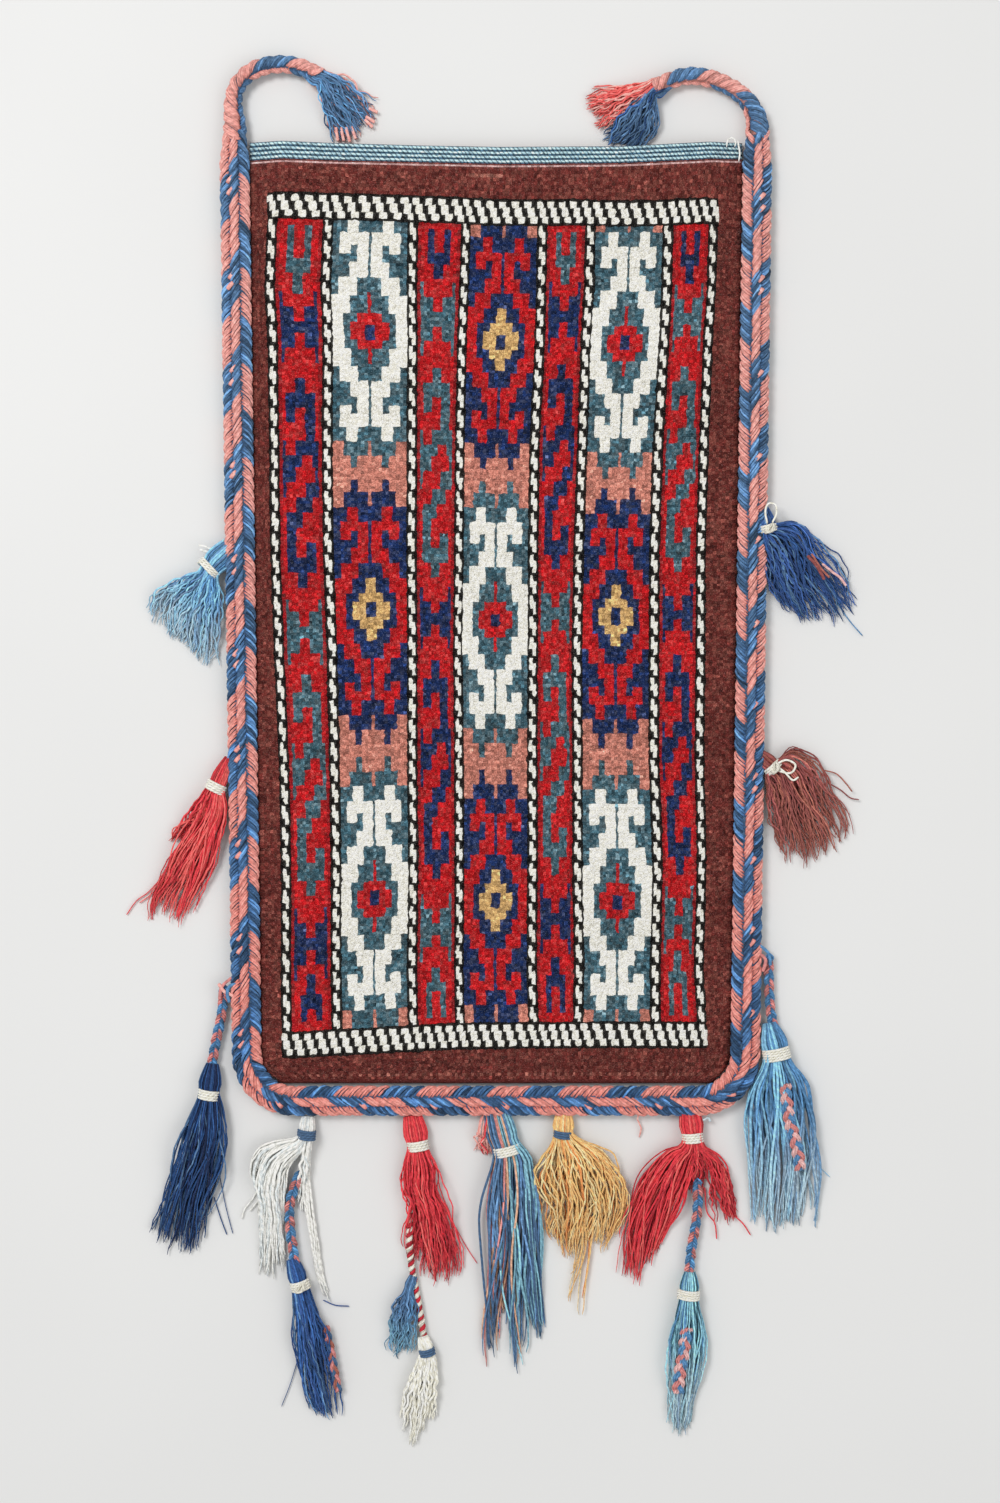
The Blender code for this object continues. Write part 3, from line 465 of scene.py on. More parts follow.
@dataclass
class Mesh:
    """Points and faces of one piece before Blender gets them, with a dye and a map place at each corner."""

    points: Array
    quads: Whole
    quad_dyes: Array
    quad_map: Array
    fans: list[tuple[int, ...]] = field(default_factory=list)
    fan_dyes: Array = field(default_factory=lambda: np.empty((0, 3)))
    face_material: Whole | None = None

    def place(self, name: str, node: str, slot: Slot, *finishes: WoolFinish) -> Piece:
        """Makes the Blender object in place of a CAD node.

        Args:
            name: The piece's name.
            node: The CAD node that it stands for.
            slot: Its material slot in the record; not used.
            finishes: One finish, or one for each number in face_material.

        Returns:
            The new object, at the world's origin, riding on the bag's body.
        """
        mesh = bpy.data.meshes.new(name)
        mesh.from_pydata(self.points, [], self.quads.tolist() + [list(fan) for fan in self.fans])
        sizes = [len(fan) for fan in self.fans]
        corners = sum(sizes)
        dyes = np.vstack([self.quad_dyes.reshape(-1, 3), np.repeat(self.fan_dyes, sizes, axis=0)])
        colour = mesh.color_attributes.new(DYE_ATTRIBUTE, "FLOAT_COLOR", "CORNER")
        opaque = np.column_stack([dyes, np.ones(len(dyes))])
        colour.data.foreach_set("color", opaque.astype(np.float32).ravel())
        chart = mesh.uv_layers.new(name=YARN_UV)
        spots = np.vstack([self.quad_map.reshape(-1, 2), np.zeros((corners, 2))])
        chart.data.foreach_set("uv", spots.astype(np.float32).ravel())
        for finish in finishes:
            mesh.materials.append(finish.material())
        if self.face_material is not None:
            mesh.polygons.foreach_set("material_index", self.face_material.astype(np.int32))
        mesh.shade_smooth()
        mesh.update()
        obj = linked(name, mesh)
        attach(obj, "root")
        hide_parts(node)
        log.info("%s: %d faces", name, len(mesh.polygons))
        return obj


def joined(meshes: Sequence[Mesh]) -> Mesh:
    """Several meshes as one."""
    firsts = np.cumsum([0] + [len(mesh.points) for mesh in meshes])
    fans = [tuple(corner + first for corner in fan) for mesh, first in zip(meshes, firsts.tolist())
            for fan in mesh.fans]
    return Mesh(np.vstack([mesh.points for mesh in meshes]),
                np.vstack([mesh.quads + first for mesh, first in zip(meshes, firsts)]),
                np.vstack([mesh.quad_dyes for mesh in meshes]),
                np.vstack([mesh.quad_map for mesh in meshes]), fans,
                np.vstack([mesh.fan_dyes for mesh in meshes]))


def ring_frames(lines: Array) -> tuple[Array, Array, Array]:
    """Directions along, beside and above centre lines.

    The direction along is the step between neighbours, the one beside is up crossed with it, and the one
    above is square to both.

    Args:
        lines: Centre lines, (tubes, rings, 3).

    Returns:
        (along, beside, above), each of the same shape.
    """
    ahead = np.gradient(lines, axis=1)
    ahead /= np.linalg.norm(ahead, axis=2, keepdims=True) + TINY
    beside = np.cross(np.array([0.0, 0.0, 1.0]), ahead)
    size = np.linalg.norm(beside, axis=2, keepdims=True)
    beside = np.where(size > UPRIGHT, beside / (size + TINY), np.array([1.0, 0.0, 0.0]))
    return ahead, beside, np.cross(ahead, beside)


def tubes(rings: Array, dyes: Array, along: Array) -> Mesh:
    """Closed tubes from rings of points.

    Args:
        rings: Points, (tubes, rings, sides, 3), turning right-handed about the way along.
        dyes: Linear colours, able to spread to (tubes, rings, sides, 3).
        along: Map place along each tube, able to spread to (tubes, rings).

    Returns:
        The tubes as one mesh: quads between rings, and one face over each end, darkened as painted shade.
    """
    count, length, sides = rings.shape[:3]
    tube, ring, side = np.meshgrid(np.arange(count), np.arange(length - 1), np.arange(sides), indexing="ij")
    corner_ring = np.stack([ring, ring, ring + 1, ring + 1], axis=-1)
    corner_side = np.stack([side, side + 1, side + 1, side], axis=-1)
    index = (tube[..., None] * length + corner_ring) * sides + corner_side % sides
    colour = np.broadcast_to(dyes, rings.shape).reshape(-1, 3)
    spots = np.broadcast_to(along, (count, length))
    around = corner_side / sides
    chart = np.stack([around, spots[tube[..., None], corner_ring]], axis=-1)
    starts = (np.arange(count) * length * sides)[:, None] + np.arange(sides)[::-1]
    ends = ((np.arange(count) * length + length - 1) * sides)[:, None] + np.arange(sides)
    closing = np.vstack([starts, ends])
    return Mesh(rings.reshape(-1, 3), index.reshape(-1, 4), colour[index.reshape(-1, 4)],
                chart.reshape(-1, 4, 2), [tuple(row) for row in closing.tolist()],
                colour[closing[:, 0]] * END_SHADE)


def yarn_tubes(lines: Array, radius: Array, dyes: Array, sides: int = 4) -> Mesh:
    """Round yarns along centre lines, drawn in at their ends.

    A point is the centre plus radius times (cos a beside + sin a above), for even angles a that leave a
    face on top.

    Args:
        lines: Centre lines, (yarns, rings, 3).
        radius: Radius, able to spread to (yarns, rings).
        dyes: Linear colours, (yarns, 3) or (yarns, rings, 3).
        sides: Sides of each section.

    Returns:
        The yarns as one mesh.
    """
    _, beside, above = ring_frames(lines)
    angle = TURN * (np.arange(sides) + 0.5) / sides
    thick = np.broadcast_to(radius, lines.shape[:2]).copy()
    thick[:, 0] *= START_TAPER
    thick[:, -1] *= END_TAPER
    turned = np.cos(angle)[:, None] * beside[:, :, None] + np.sin(angle)[:, None] * above[:, :, None]
    rings = lines[:, :, None] + thick[:, :, None, None] * turned
    rings[..., 2] = np.maximum(rings[..., 2], 0.0)
    steps = np.linalg.norm(np.diff(lines, axis=1), axis=2)
    along = np.concatenate([np.zeros((len(lines), 1)), np.cumsum(steps, axis=1)], axis=1)
    along += np.arange(len(lines))[:, None] * LINE_SHIFT
    return tubes(rings, dyes.reshape(len(lines), -1, 1, 3), along)


# Woven strip

PILE_LAP = 4


class Zone(Enum):
    """Finishes of the woven strip, in the order of its material slots."""

    PILE = 0
    WEAVE = 1
    BAND = 2


@dataclass(frozen=True)
class Course:
    """Some rows of a figure and the knots, counted from its centre line, that it fills there."""

    rows: float
    spans: tuple[tuple[int, int], ...]


def mirrored(*courses: tuple[float, tuple[tuple[int, int], ...]]) -> tuple[Course, ...]:
    """Courses given for one side of a centre line, repeated on the other side."""
    made = []
    for rows, spans in courses:
        both = tuple(spans) + tuple((-high, -low) for low, high in spans)
        made.append(Course(rows, both))
    return tuple(made)


HOOKED_RING = (((8, 10),), ((6, 10),), ((4, 8),), ((1, 5),), ((1, 3),), ((1, 3), (6, 8)), ((1, 8),),
               ((4, 6),))
BAR_FIGURE = mirrored((5, ((5, 5),)), (5.5, ((2, 5),)), (4, ((0, 5),)), (5, ((2, 5),)), (5, ((5, 5),)))
HOOK_FIGURE = tuple(Course(rows, spans) for rows, spans in (
    (5, ((-1, 1),)), (5, ((-4, 4),)), (5, ((-4, -2), (2, 4))), (6, ((2, 4),)), (5, ((-5, -5), (-1, 5))),
    (4, ((-5, 0), (4, 5))), (5, ((-5, -2), (5, 5))), (5, ((-5, -5), (2, 5))), (5, ((-1, 3),)),
    (5, ((-4, 0),)), (5, ((-4, -2),)), (5, ((-4, -2), (2, 4))), (5, ((-4, 4),)), (5, ((-1, 1),))))


@dataclass(frozen=True)
class Medallion:
    """A hooked medallion of a wide column.

    Attributes:
        ground: Dye of the ground.
        ring: Dye of the hooked ring.
        heart: Dye of the stepped cross in the middle.
        upper: Rows of the ring's courses from the middle towards the mouth.
        lower: Rows of the same courses towards the foot.
        tip: Knots to each side that the tips of the cross fill.
        tip_rows: Rows of its upper and lower tip.
    """

    ground: Dye
    ring: Dye
    heart: Dye
    upper: tuple[int, ...]
    lower: tuple[int, ...]
    tip: int
    tip_rows: tuple[int, int]


PALE = Medallion(Dye.TEAL, Dye.WHITE, Dye.RED, upper=(6, 6, 6, 5, 3, 3, 4, 5),
                 lower=(6, 6, 5, 5, 3, 3, 4, 5), tip=0, tip_rows=(7, 5))
DARK = Medallion(Dye.NAVY, Dye.RED, Dye.GOLD, upper=(6, 5, 5, 5, 3, 3, 3, 5),
                 lower=(6, 5, 5, 5, 3, 3, 3, 5), tip=1, tip_rows=(5, 4))


@dataclass(frozen=True)
class NarrowColumn:
    """A narrow red column: rows where its figures start and end, and the dyes of its seven figures."""

    trident: tuple[float, float, float, float]
    bars: tuple[tuple[float, float], ...]
    hooks: tuple[tuple[float, float], ...]
    foot: tuple[float, float, float, float]
    dark_first: bool

    def dyes(self) -> tuple[Dye, ...]:
        """Dyes of trident, bar, hook, bar, hook, bar and foot figure."""
        first, second = (Dye.TEAL, Dye.NAVY) if self.dark_first else (Dye.NAVY, Dye.TEAL)
        return (first, second, second, first, first, second, second)


@dataclass
class PileChart:
    """The knots of the pile face: which dye each knot is tied in, worked out by the weaver's rules.

    Attributes:
        rows: Rows of knots in the field, between the two barber bands.
        band_rows: Rows of a barber band.
        border_rows: Rows of the plain border above and below.
        groups: Knots across each border, stripe and column, from the left.
        pink_reach: How far from its middle row a pink band is nearly full and full, as shares of its height.
        wide: Medallions of the three wide columns, each with its middle row.
        narrow: The four narrow columns.
    """

    rows: int = 271
    band_rows: int = 9
    border_rows: int = 9
    groups: tuple[int, ...] = (6, 4, 13, 4, 21, 4, 13, 4, 21, 4, 13, 4, 21, 4, 13, 4, 8)
    pink_reach: tuple[float, float] = (0.28, 0.09)

    wide: tuple[tuple[tuple[Medallion, float], ...], ...] = (
        ((PALE, 37.4), (DARK, 130.6), (PALE, 227.9)),
        ((DARK, 39.4), (PALE, 134.0), (DARK, 229.9)),
        ((PALE, 39.7), (DARK, 133.0), (PALE, 230.3)))

    narrow: tuple[NarrowColumn, ...] = (
        NarrowColumn((2, 13.3, 17.6, 24.7), ((23.5, 48.4), (126.9, 149.2), (230.4, 253.8)),
                     ((52.7, 123), (152.5, 225.9)), (252.5, 259.1, 263.5, 268.5), True),
        NarrowColumn((2.2, 10.1, 14.5, 19.2), ((19.8, 44.7), (123.2, 144.3), (226.9, 250.2)),
                     ((48.8, 120.1), (148.5, 222.3)), (251.6, 256.6, 260.4, 269.3), False),
        NarrowColumn((1.9, 10.3, 14.5, 20), ((19.1, 42.8), (120.8, 142.3), (224, 247.7)),
                     ((47.2, 117.3), (146.4, 220.8)), (248.6, 255.1, 259.1, 268.3), True),
        NarrowColumn((1.7, 9.8, 13.7, 19.9), ((19.9, 43), (121.8, 142.5), (224.7, 247.6)),
                     ((47.5, 118.2), (146.2, 220.6)), (246.7, 254.1, 258.3, 269.2), False))

    def columns(self) -> int:
        """Knots across the whole strip."""
        return sum(self.groups)

    def field(self) -> Whole:
        """Dye number of every knot of the field, (rows, columns)."""
        chart = np.full((self.rows, self.columns()), self.number(Dye.MAROON))
        starts = np.concatenate([[0], np.cumsum(self.groups)])
        down = np.arange(self.rows)
        for stripe in range(8):
            first = starts[1 + 2 * stripe]
            chart[:, first:first + 4] = self.number(Dye.BLACK)
            chart[down % 7 < 4, first + 1] = self.number(Dye.WHITE)
            chart[(down - 2) % 7 < 4, first + 2] = self.number(Dye.WHITE)
        for index, column in enumerate(self.narrow):
            self.narrow_column(chart[:, starts[2 + 4 * index]:starts[3 + 4 * index]], column)
        for index, medallions in enumerate(self.wide):
            self.wide_column(chart[:, starts[4 + 4 * index]:starts[5 + 4 * index]], medallions)
        return chart

    @staticmethod
    def number(dye: Dye) -> int:
        """Place of a dye in the list of dyes."""
        return list(Dye).index(dye)

    def paint(self, part: Whole, top: float, courses: Sequence[Course], dye: Dye,
              length: float | None = None, upwards: bool = False) -> None:
        """Ties a figure's courses into a column, one after another.

        Args:
            part: The column's knots, changed in place.
            top: The row where the figure starts.
            courses: The figure's courses in order.
            dye: The figure's dye.
            length: Rows the whole figure takes, or None for the courses' own.
            upwards: Whether the courses go towards the mouth.
        """
        middle = part.shape[1] // 2
        stretch = length / sum(course.rows for course in courses) if length else 1.0
        reach = np.concatenate([[0.0], np.cumsum([course.rows for course in courses])]) * stretch
        for index, course in enumerate(courses):
            low, high = round(top + reach[index]), round(top + reach[index + 1])
            if upwards:
                low, high = round(top - reach[index + 1]), round(top - reach[index])
            low, high = max(low, 0), min(high, self.rows)
            for left, right in course.spans:
                part[low:high, middle + left:middle + right + 1] = self.number(dye)

    def narrow_column(self, part: Whole, column: NarrowColumn) -> None:
        """Ties a narrow column: red ground, a trident, bars and hooks in turn, and a foot figure."""
        part[:] = self.number(Dye.RED)
        part[:, [0, -1]] = self.number(Dye.DARK_RED)
        dyes = column.dyes()
        prongs, bar, stem, end = column.trident
        self.paint(part, prongs, mirrored((bar - prongs, ((2, 3),)), (stem - bar, ((0, 3),)),
                                          (end - stem, ((0, 1),))), dyes[0])
        for (low, high), dye in zip(column.bars, (dyes[1], dyes[3], dyes[5])):
            self.paint(part, low, BAR_FIGURE, dye, high - low)
        for (low, high), dye in zip(column.hooks, (dyes[2], dyes[4])):
            self.paint(part, low, HOOK_FIGURE, dye, high - low)
        stem, bar, prongs, end = column.foot
        self.paint(part, stem, mirrored((bar - stem, ((0, 1),)), (prongs - bar, ((0, 3),)),
                                        (end - prongs, ((2, 3),))), dyes[6])

    def wide_column(self, part: Whole, medallions: Sequence[tuple[Medallion, float]]) -> None:
        """Ties a wide column: hooked medallions about their middle rows, with pink bands between them."""
        middles = [middle for _, middle in medallions]
        limits = [0] + [round((a + b) / 2) for a, b in zip(middles, middles[1:])] + [self.rows]
        for (medallion, _), first, last in zip(medallions, limits, limits[1:]):
            part[first:last] = self.number(medallion.ground)
        edge = 0
        for medallion, middle in medallions:
            self.pink_band(part, edge, round(middle - sum(medallion.upper)), whole=edge > 0)
            self.ring_and_heart(part, medallion, middle)
            edge = round(middle + sum(medallion.lower))
        self.pink_band(part, edge, self.rows, whole=False)

    def pink_band(self, part: Whole, low: int, high: int, whole: bool) -> None:
        """Ties the pink between two medallions, or its short end at the top or the foot of a column."""
        side = np.abs(np.arange(part.shape[1]) - part.shape[1] // 2)
        for row in range(max(low, 0), min(high, self.rows)):
            share = abs((row + 0.5 - low) / max(high - low, 1) - 0.5)
            taken = (side == 0) | (side >= 8)
            if whole and share < self.pink_reach[0]:
                taken = (side < 4) | (side > 5)
            if whole and share < self.pink_reach[1]:
                taken = side >= 0
            part[row, taken] = self.number(Dye.PINK)

    def ring_and_heart(self, part: Whole, medallion: Medallion, middle: float) -> None:
        """Ties one medallion's hooked ring, its stepped cross and the eye in the middle."""
        sides = zip((True, False), (medallion.upper, medallion.lower), medallion.tip_rows)
        for upwards, counts, tip_rows in sides:
            ring = mirrored(*zip(counts, HOOKED_RING))
            self.paint(part, middle, ring, medallion.ring, upwards=upwards)
            cross = mirrored((3, ((0, 5),)), (3, ((0, 3),)), (tip_rows, ((0, medallion.tip),)))
            self.paint(part, middle, cross, medallion.heart, upwards=upwards)
        self.paint(part, middle - 2.5, mirrored((5, ((0, 1),))), Dye.NAVY)

    def barber_band(self) -> Whole:
        """Dye numbers of a barber band: white steps that move one knot to the right as they go down."""
        chart = np.full((self.band_rows, self.columns()), self.number(Dye.MAROON))
        first, last = self.groups[0], self.columns() - self.groups[-1]
        across = np.arange(first, last)
        chart[:, first:last] = self.number(Dye.BLACK)
        black = -1
        for row, shift in enumerate((black, 0, 0, 1, 1, 1, 2, 2, black)):
            if shift != black:
                chart[row, first:last][(across - first - shift) % 4 < 2] = self.number(Dye.WHITE)
        return chart


@dataclass
class WovenStrip:
    """The woven strip, folded at the foot into a flat bag, in one closed piece.

    The outer face runs from the back's mouth down to the foot, round the fold and up the pile face. The
    inner face runs back the same way. Both are grids, sewn together along the two mouths and the two sides.

    Attributes:
        puff_run: How far in from its edges the bag rises to its full height.
        inner_step: Rows of the pile face to one row of the inner face, twice as many as on the back.
        band_half: Half the height of a barber band, in photograph pixels.
        line_depth: Height of the two lines under the ribs, in photograph pixels.
        repair: Row of the top border, and first and last knot, where it was mended in a paler wool.
        seam_step: Knots from one pale stitch along the foot to the next.
        spread: How much the knots of one dye differ, and deep_spread: the same for the two blues.
        teal_flecks: Share of teal knots that are paler, and how far towards white they go.
        maroon_flecks: Share of maroon knots that are paler, and how far towards the light maroon they go.
        corner_share: How much of a knot's corners is the mean of the knots round it.
        weave_map: Yarns of the weave on one row of the back.
        stripe_heights: Heights of the measured stripe centres, in photograph pixels.
        stripe_centres: The eight stripes' middles at each of them.
        stripe_halves: Half their widths.
    """

    mouth_width: float = 270.0 * MM
    foot_width: float = 256.0 * MM
    length: float = 519.0 * MM
    corner_radius: float = 17.6 * MM
    back_thickness: float = 1.6 * MM
    pile_thickness: float = 4.2 * MM
    pocket_height: float = 6.0 * MM
    pocket_gap: float = 0.05 * MM
    puff_run: float = 20.0 * MM
    fold: float = 2.6 * MM
    rib_rows: int = 16
    line_rows: int = 2
    back_rows: int = 64
    fold_rows: int = 7
    inner_step: int = 8
    ripple: float = 0.45 * MM
    crease: float = 0.35 * MM
    settle: float = 0.4 * MM
    corner_squeeze: float = 40.0 * MM
    band_half: float = 13.5
    line_depth: float = 4.5
    knot_wander: float = 0.22 * MM
    light_swell: float = 0.11 * MM
    rib_count: int = 4
    rib_relief: float = 0.9 * MM
    rib_sink: float = 2.2 * MM
    selvage_drop: float = 1.0 * MM
    selvage_reach: float = 1.2 * MM
    repair: tuple[int, int, int] = (2, 68, 79)
    seam_margin: int = 8
    seam_step: int = 3
    spread: float = 0.28
    deep_spread: float = 0.44
    white_gain: float = 1.34
    white_spread: float = 0.04
    abrash: float = 0.05
    row_spread: float = 0.025
    # Painted glint: how far at most a knot goes towards white, and the share of that on black knots.
    glint: float = 0.05
    black_glint: float = 0.2
    teal_flecks: tuple[float, float] = (0.30, 0.07)
    maroon_flecks: tuple[float, float] = (0.40, 0.33)
    corner_share: float = 0.07
    brightest: float = 1.5
    weave_map: float = 5.0
    seed: int = 11

    stripe_heights: tuple[float, ...] = (221, 292, 344, 448, 552, 656, 760, 864, 968, 1022)
    stripe_centres: tuple[tuple[float, ...], ...] = (
        (272.5, 329, 413.5, 466.5, 542.5, 590.5, 668, 713), (269.5, 326, 412, 464, 541, 589, 666.3, 711),
        (272.6, 328.1, 412.5, 462, 539.6, 585.5, 663.5, 707.6),
        (274.2, 327.7, 412.2, 459.9, 534.4, 582, 657.6, 703.5),
        (275.3, 328.5, 411.5, 459, 533, 578.5, 654, 700.5),
        (279.4, 332.6, 412.5, 457.9, 532.6, 576.7, 653.7, 700),
        (284.2, 334.7, 412.5, 459, 532.2, 577.4, 653.5, 699.1),
        (286.5, 336.6, 413.5, 459.6, 532.5, 577.4, 657.3, 701.4),
        (286.1, 336.4, 412, 459, 531.6, 579.1, 654.9, 698.5),
        (287, 337.5, 413.5, 460, 533.5, 578, 655, 701.5))
    stripe_halves: tuple[float, ...] = (5.6, 5.6, 5.4, 5.0, 5.4, 5.5, 5.6, 5.2)

    def half_width(self, y: Array) -> Array:
        """Half the width at y before the corners are rounded: a straight taper from mouth to foot."""
        down = (self.length / 2 - y) / self.length
        return (self.mouth_width + (self.foot_width - self.mouth_width) * down) / 2

    def corner_cut(self, y: Array) -> Array:
        """What a rounded foot corner takes off half the width at y: a quarter circle."""
        into = np.clip((-self.length / 2 + self.corner_radius - y) / self.corner_radius, 0.0, 1.0)
        return self.corner_radius * (1.0 - np.sqrt(1.0 - into * into))

    def front_height(self, x: Array, y: Array) -> Array:
        """Height of the pile face: low at the sewn edges, level over the pocket, with soft ripples."""
        edge = self.back_thickness + self.pile_thickness
        inward = self.half_width(y) - np.abs(x)
        level = smooth_step(inward / self.puff_run) * smooth_step((y + self.length / 2) / self.puff_run)
        ripple = self.ripple * np.sin(x * 31.0 + 9.0 * y + 0.6) * np.sin(y * 37.0 - 11.0 * x)
        crease = self.crease * np.sin(y * 118.0 + 2.0 * np.sin(x * 22.0))
        return edge + self.pocket_height * level + level * (ripple + crease - self.settle)

    def column_lines(self, rows_y: Array) -> Array:
        """Places of the knot columns at each row.

        Between the measured stripe centres a line runs straight, and a column shares its width evenly
        among its knots. Only the outermost part gives way where a foot corner is rounded.

        Args:
            rows_y: Height of each row on the bag, in metres.

        Returns:
            x of every line, (rows, columns + 1).
        """
        chart = PileChart()
        pixel = CENTRE_PIXEL[1] - rows_y / PIXEL
        half = self.half_width(rows_y)
        centres = np.array(self.stripe_centres)
        edges = [-half]
        for stripe in range(8):
            middle = (np.interp(pixel, self.stripe_heights, centres[:, stripe]) - CENTRE_PIXEL[0]) * PIXEL
            reach = self.stripe_halves[stripe] * PIXEL
            edges += [middle - reach, middle + reach]
        edges = np.stack([*edges, half], axis=1)
        starts = np.concatenate([[0], np.cumsum(chart.groups)])
        lines = np.arange(chart.columns() + 1)
        x = np.stack([np.interp(lines, starts, row) for row in edges])
        inner = half[:, None] - self.corner_squeeze
        beyond = np.clip(np.abs(x) - inner, 0.0, None)
        held = 1.0 - self.corner_cut(rows_y)[:, None] / self.corner_squeeze
        return np.sign(x) * np.where(beyond > 0, inner + beyond * held, np.abs(x))

    def key_lines(self, x: Array) -> list[Array]:
        """Lines across the pile face that its zones meet at, from mouth to foot, as y at each x."""
        across = CENTRE_PIXEL[0] + x / PIXEL

        def line(places: Sequence[float], heights: Sequence[float], shift: float = 0.0) -> Array:
            """A measured line, straight between its points, as y in metres."""
            return (CENTRE_PIXEL[1] - np.interp(across, places, heights) - shift) * PIXEL

        top = ((285, 327, 369, 411, 453, 495, 537, 579, 621, 663, 705),
               (206, 207.5, 208.5, 210, 211.5, 214, 214, 213.5, 214.5, 214, 212))
        foot = ((297, 337, 377, 417, 457, 497, 617, 697),
                (1044.5, 1042, 1040, 1037.5, 1035.5, 1035, 1034, 1034.5))
        mouth = ((250, 330, 420, 500, 620, 700, 740), (139.5, 143, 145.5, 147, 146.5, 142.5, 140))
        ribs = ((250, 330, 420, 500, 620, 700, 740), (157.5, 160.5, 162.5, 164, 163, 159.5, 156.5))
        bands = [line(*band, shift) for band in (top, foot) for shift in (-self.band_half, self.band_half)]
        return [line(*mouth), line(*ribs), line(*ribs, self.line_depth), *bands,
                np.full_like(x, -self.length / 2 + self.fold)]

    def zone_rows(self) -> tuple[int, ...]:
        """Rows of faces between the key lines."""
        chart = PileChart()
        return (self.rib_rows, self.line_rows, chart.border_rows, chart.band_rows, chart.rows,
                chart.band_rows, chart.border_rows)

    def face_points(self) -> Array:
        """Points of the pile face from mouth to foot, one quad a knot, with the knots a little uneven."""
        counts = self.zone_rows()
        key_rows = np.concatenate([[0], np.cumsum(counts)])
        rows = np.arange(key_rows[-1] + 1)
        middle = np.array([line[0] for line in self.key_lines(np.zeros(1))])
        x = self.column_lines(np.interp(rows, key_rows, middle))
        keys = np.stack(self.key_lines(x.ravel())).reshape(len(counts) + 1, *x.shape)
        zone = np.clip(np.searchsorted(key_rows, rows, side="right") - 1, 0, len(counts) - 1)
        share = ((rows - key_rows[zone]) / np.array(counts)[zone])[:, None]
        row, column = np.arange(len(rows))[:, None], np.arange(x.shape[1])[None]
        before, after = keys[zone[:, None], row, column], keys[zone[:, None] + 1, row, column]
        y = before * (1 - share) + after * share
        z = self.front_height(x, y)
        return self.roughen(np.stack([x, y, z], axis=-1), key_rows)

    def roughen(self, points: Array, key_rows: Whole) -> Array:
        """Moves the pile's points at random, gives white knots more room and shapes the mouth's ribs.

        Args:
            points: Points of the pile face, (rows, columns, 3).
            key_rows: First row of each zone.

        Returns:
            The moved points.
        """
        rng = np.random.default_rng(self.seed)
        moved = points.copy()
        inside = np.zeros(points.shape[:2])
        inside[key_rows[2] + 1:-2, 2:-2] = 1.0
        for axis in range(3):
            moved[..., axis] += rng.normal(0.0, self.knot_wander, inside.shape) * inside
        light = self.lightness()
        gap_x = np.zeros(inside.shape)
        gap_x[1:-1, 1:-1] = light[1:, 1:] + light[:-1, 1:] - light[1:, :-1] - light[:-1, :-1]
        gap_y = np.zeros(inside.shape)
        gap_y[1:-1, 1:-1] = light[1:, 1:] + light[1:, :-1] - light[:-1, 1:] - light[:-1, :-1]
        moved[..., 0] -= self.light_swell * gap_x * inside
        moved[..., 1] += self.light_swell * gap_y * inside
        ribs = np.arange(self.rib_rows + 1) / self.rib_rows * self.rib_count
        relief = np.abs(np.sin(math.pi * ribs)) * self.rib_relief - self.rib_sink
        moved[:self.rib_rows + 1, :, 2] += relief[:, None]
        moved[self.rib_rows + 1, :, 2] -= self.rib_relief
        moved[:, [0, -1], 2] -= self.selvage_drop
        moved[:, 0, 0] -= self.selvage_reach
        moved[:, -1, 0] += self.selvage_reach
        moved[:, [1, -2], 2] -= self.selvage_drop / 2
        return moved

    def lightness(self) -> Array:
        """1 at white knots and 0 elsewhere, one number a face of the pile."""
        return (self.dye_numbers() == PileChart.number(Dye.WHITE)).astype(float)

    def dye_numbers(self) -> Whole:
        """Dye number of every face of the pile side, from mouth to foot."""
        chart = PileChart()
        number = PileChart.number
        rib = np.array([Dye.BAND_DARK, Dye.BAND_LIGHT, Dye.BAND_LIGHT, Dye.BAND_DARK])
        ribs = np.array([number(rib[row % 4]) for row in range(self.rib_rows)])
        lines = np.array([number(Dye.MAROON), number(Dye.PALE_PINK)])
        border = np.full((chart.border_rows, chart.columns()), number(Dye.MAROON))
        across = np.ones(chart.columns(), dtype=int)
        head, foot = border.copy(), border.copy()
        mended, first, last = self.repair
        head[mended, first:last] = number(Dye.MAROON_LIGHT)
        foot[-2, self.seam_margin:-self.seam_margin:self.seam_step] = number(Dye.MAROON_LIGHT)
        return np.vstack([ribs[:, None] * across, lines[:, None] * across, head, chart.barber_band(),
                          chart.field(), chart.barber_band(), foot])

    def face_dyes(self) -> Array:
        """Linear colour at the four corners of every face of the pile side.

        Each knot has its own shade of its dye, a little of each corner is the mean of the knots round it,
        and some knots carry a painted glint, a little towards white.

        Returns:
            Colours, (rows, columns, 4, 3).
        """
        rng = np.random.default_rng(self.seed + 1)
        numbers = self.dye_numbers()
        palette = linear_of(list(Dye))
        colours = palette[numbers]
        rows, columns = numbers.shape
        pale = numbers == PileChart.number(Dye.WHITE)
        teal = numbers == PileChart.number(Dye.TEAL)
        deep = teal | (numbers == PileChart.number(Dye.NAVY))
        shade = rng.normal(0.0, 1.0, (rows, columns))
        dyed = np.exp(np.where(deep, self.deep_spread, self.spread) * shade)
        shade = np.where(pale, self.white_gain + self.white_spread * shade, dyed)
        abrash = 1.0 + self.abrash * np.sin(np.arange(rows) * 0.11) + rng.normal(0.0, self.row_spread, rows)
        flecks = rng.random((rows, columns))
        maroon = numbers == PileChart.number(Dye.MAROON)
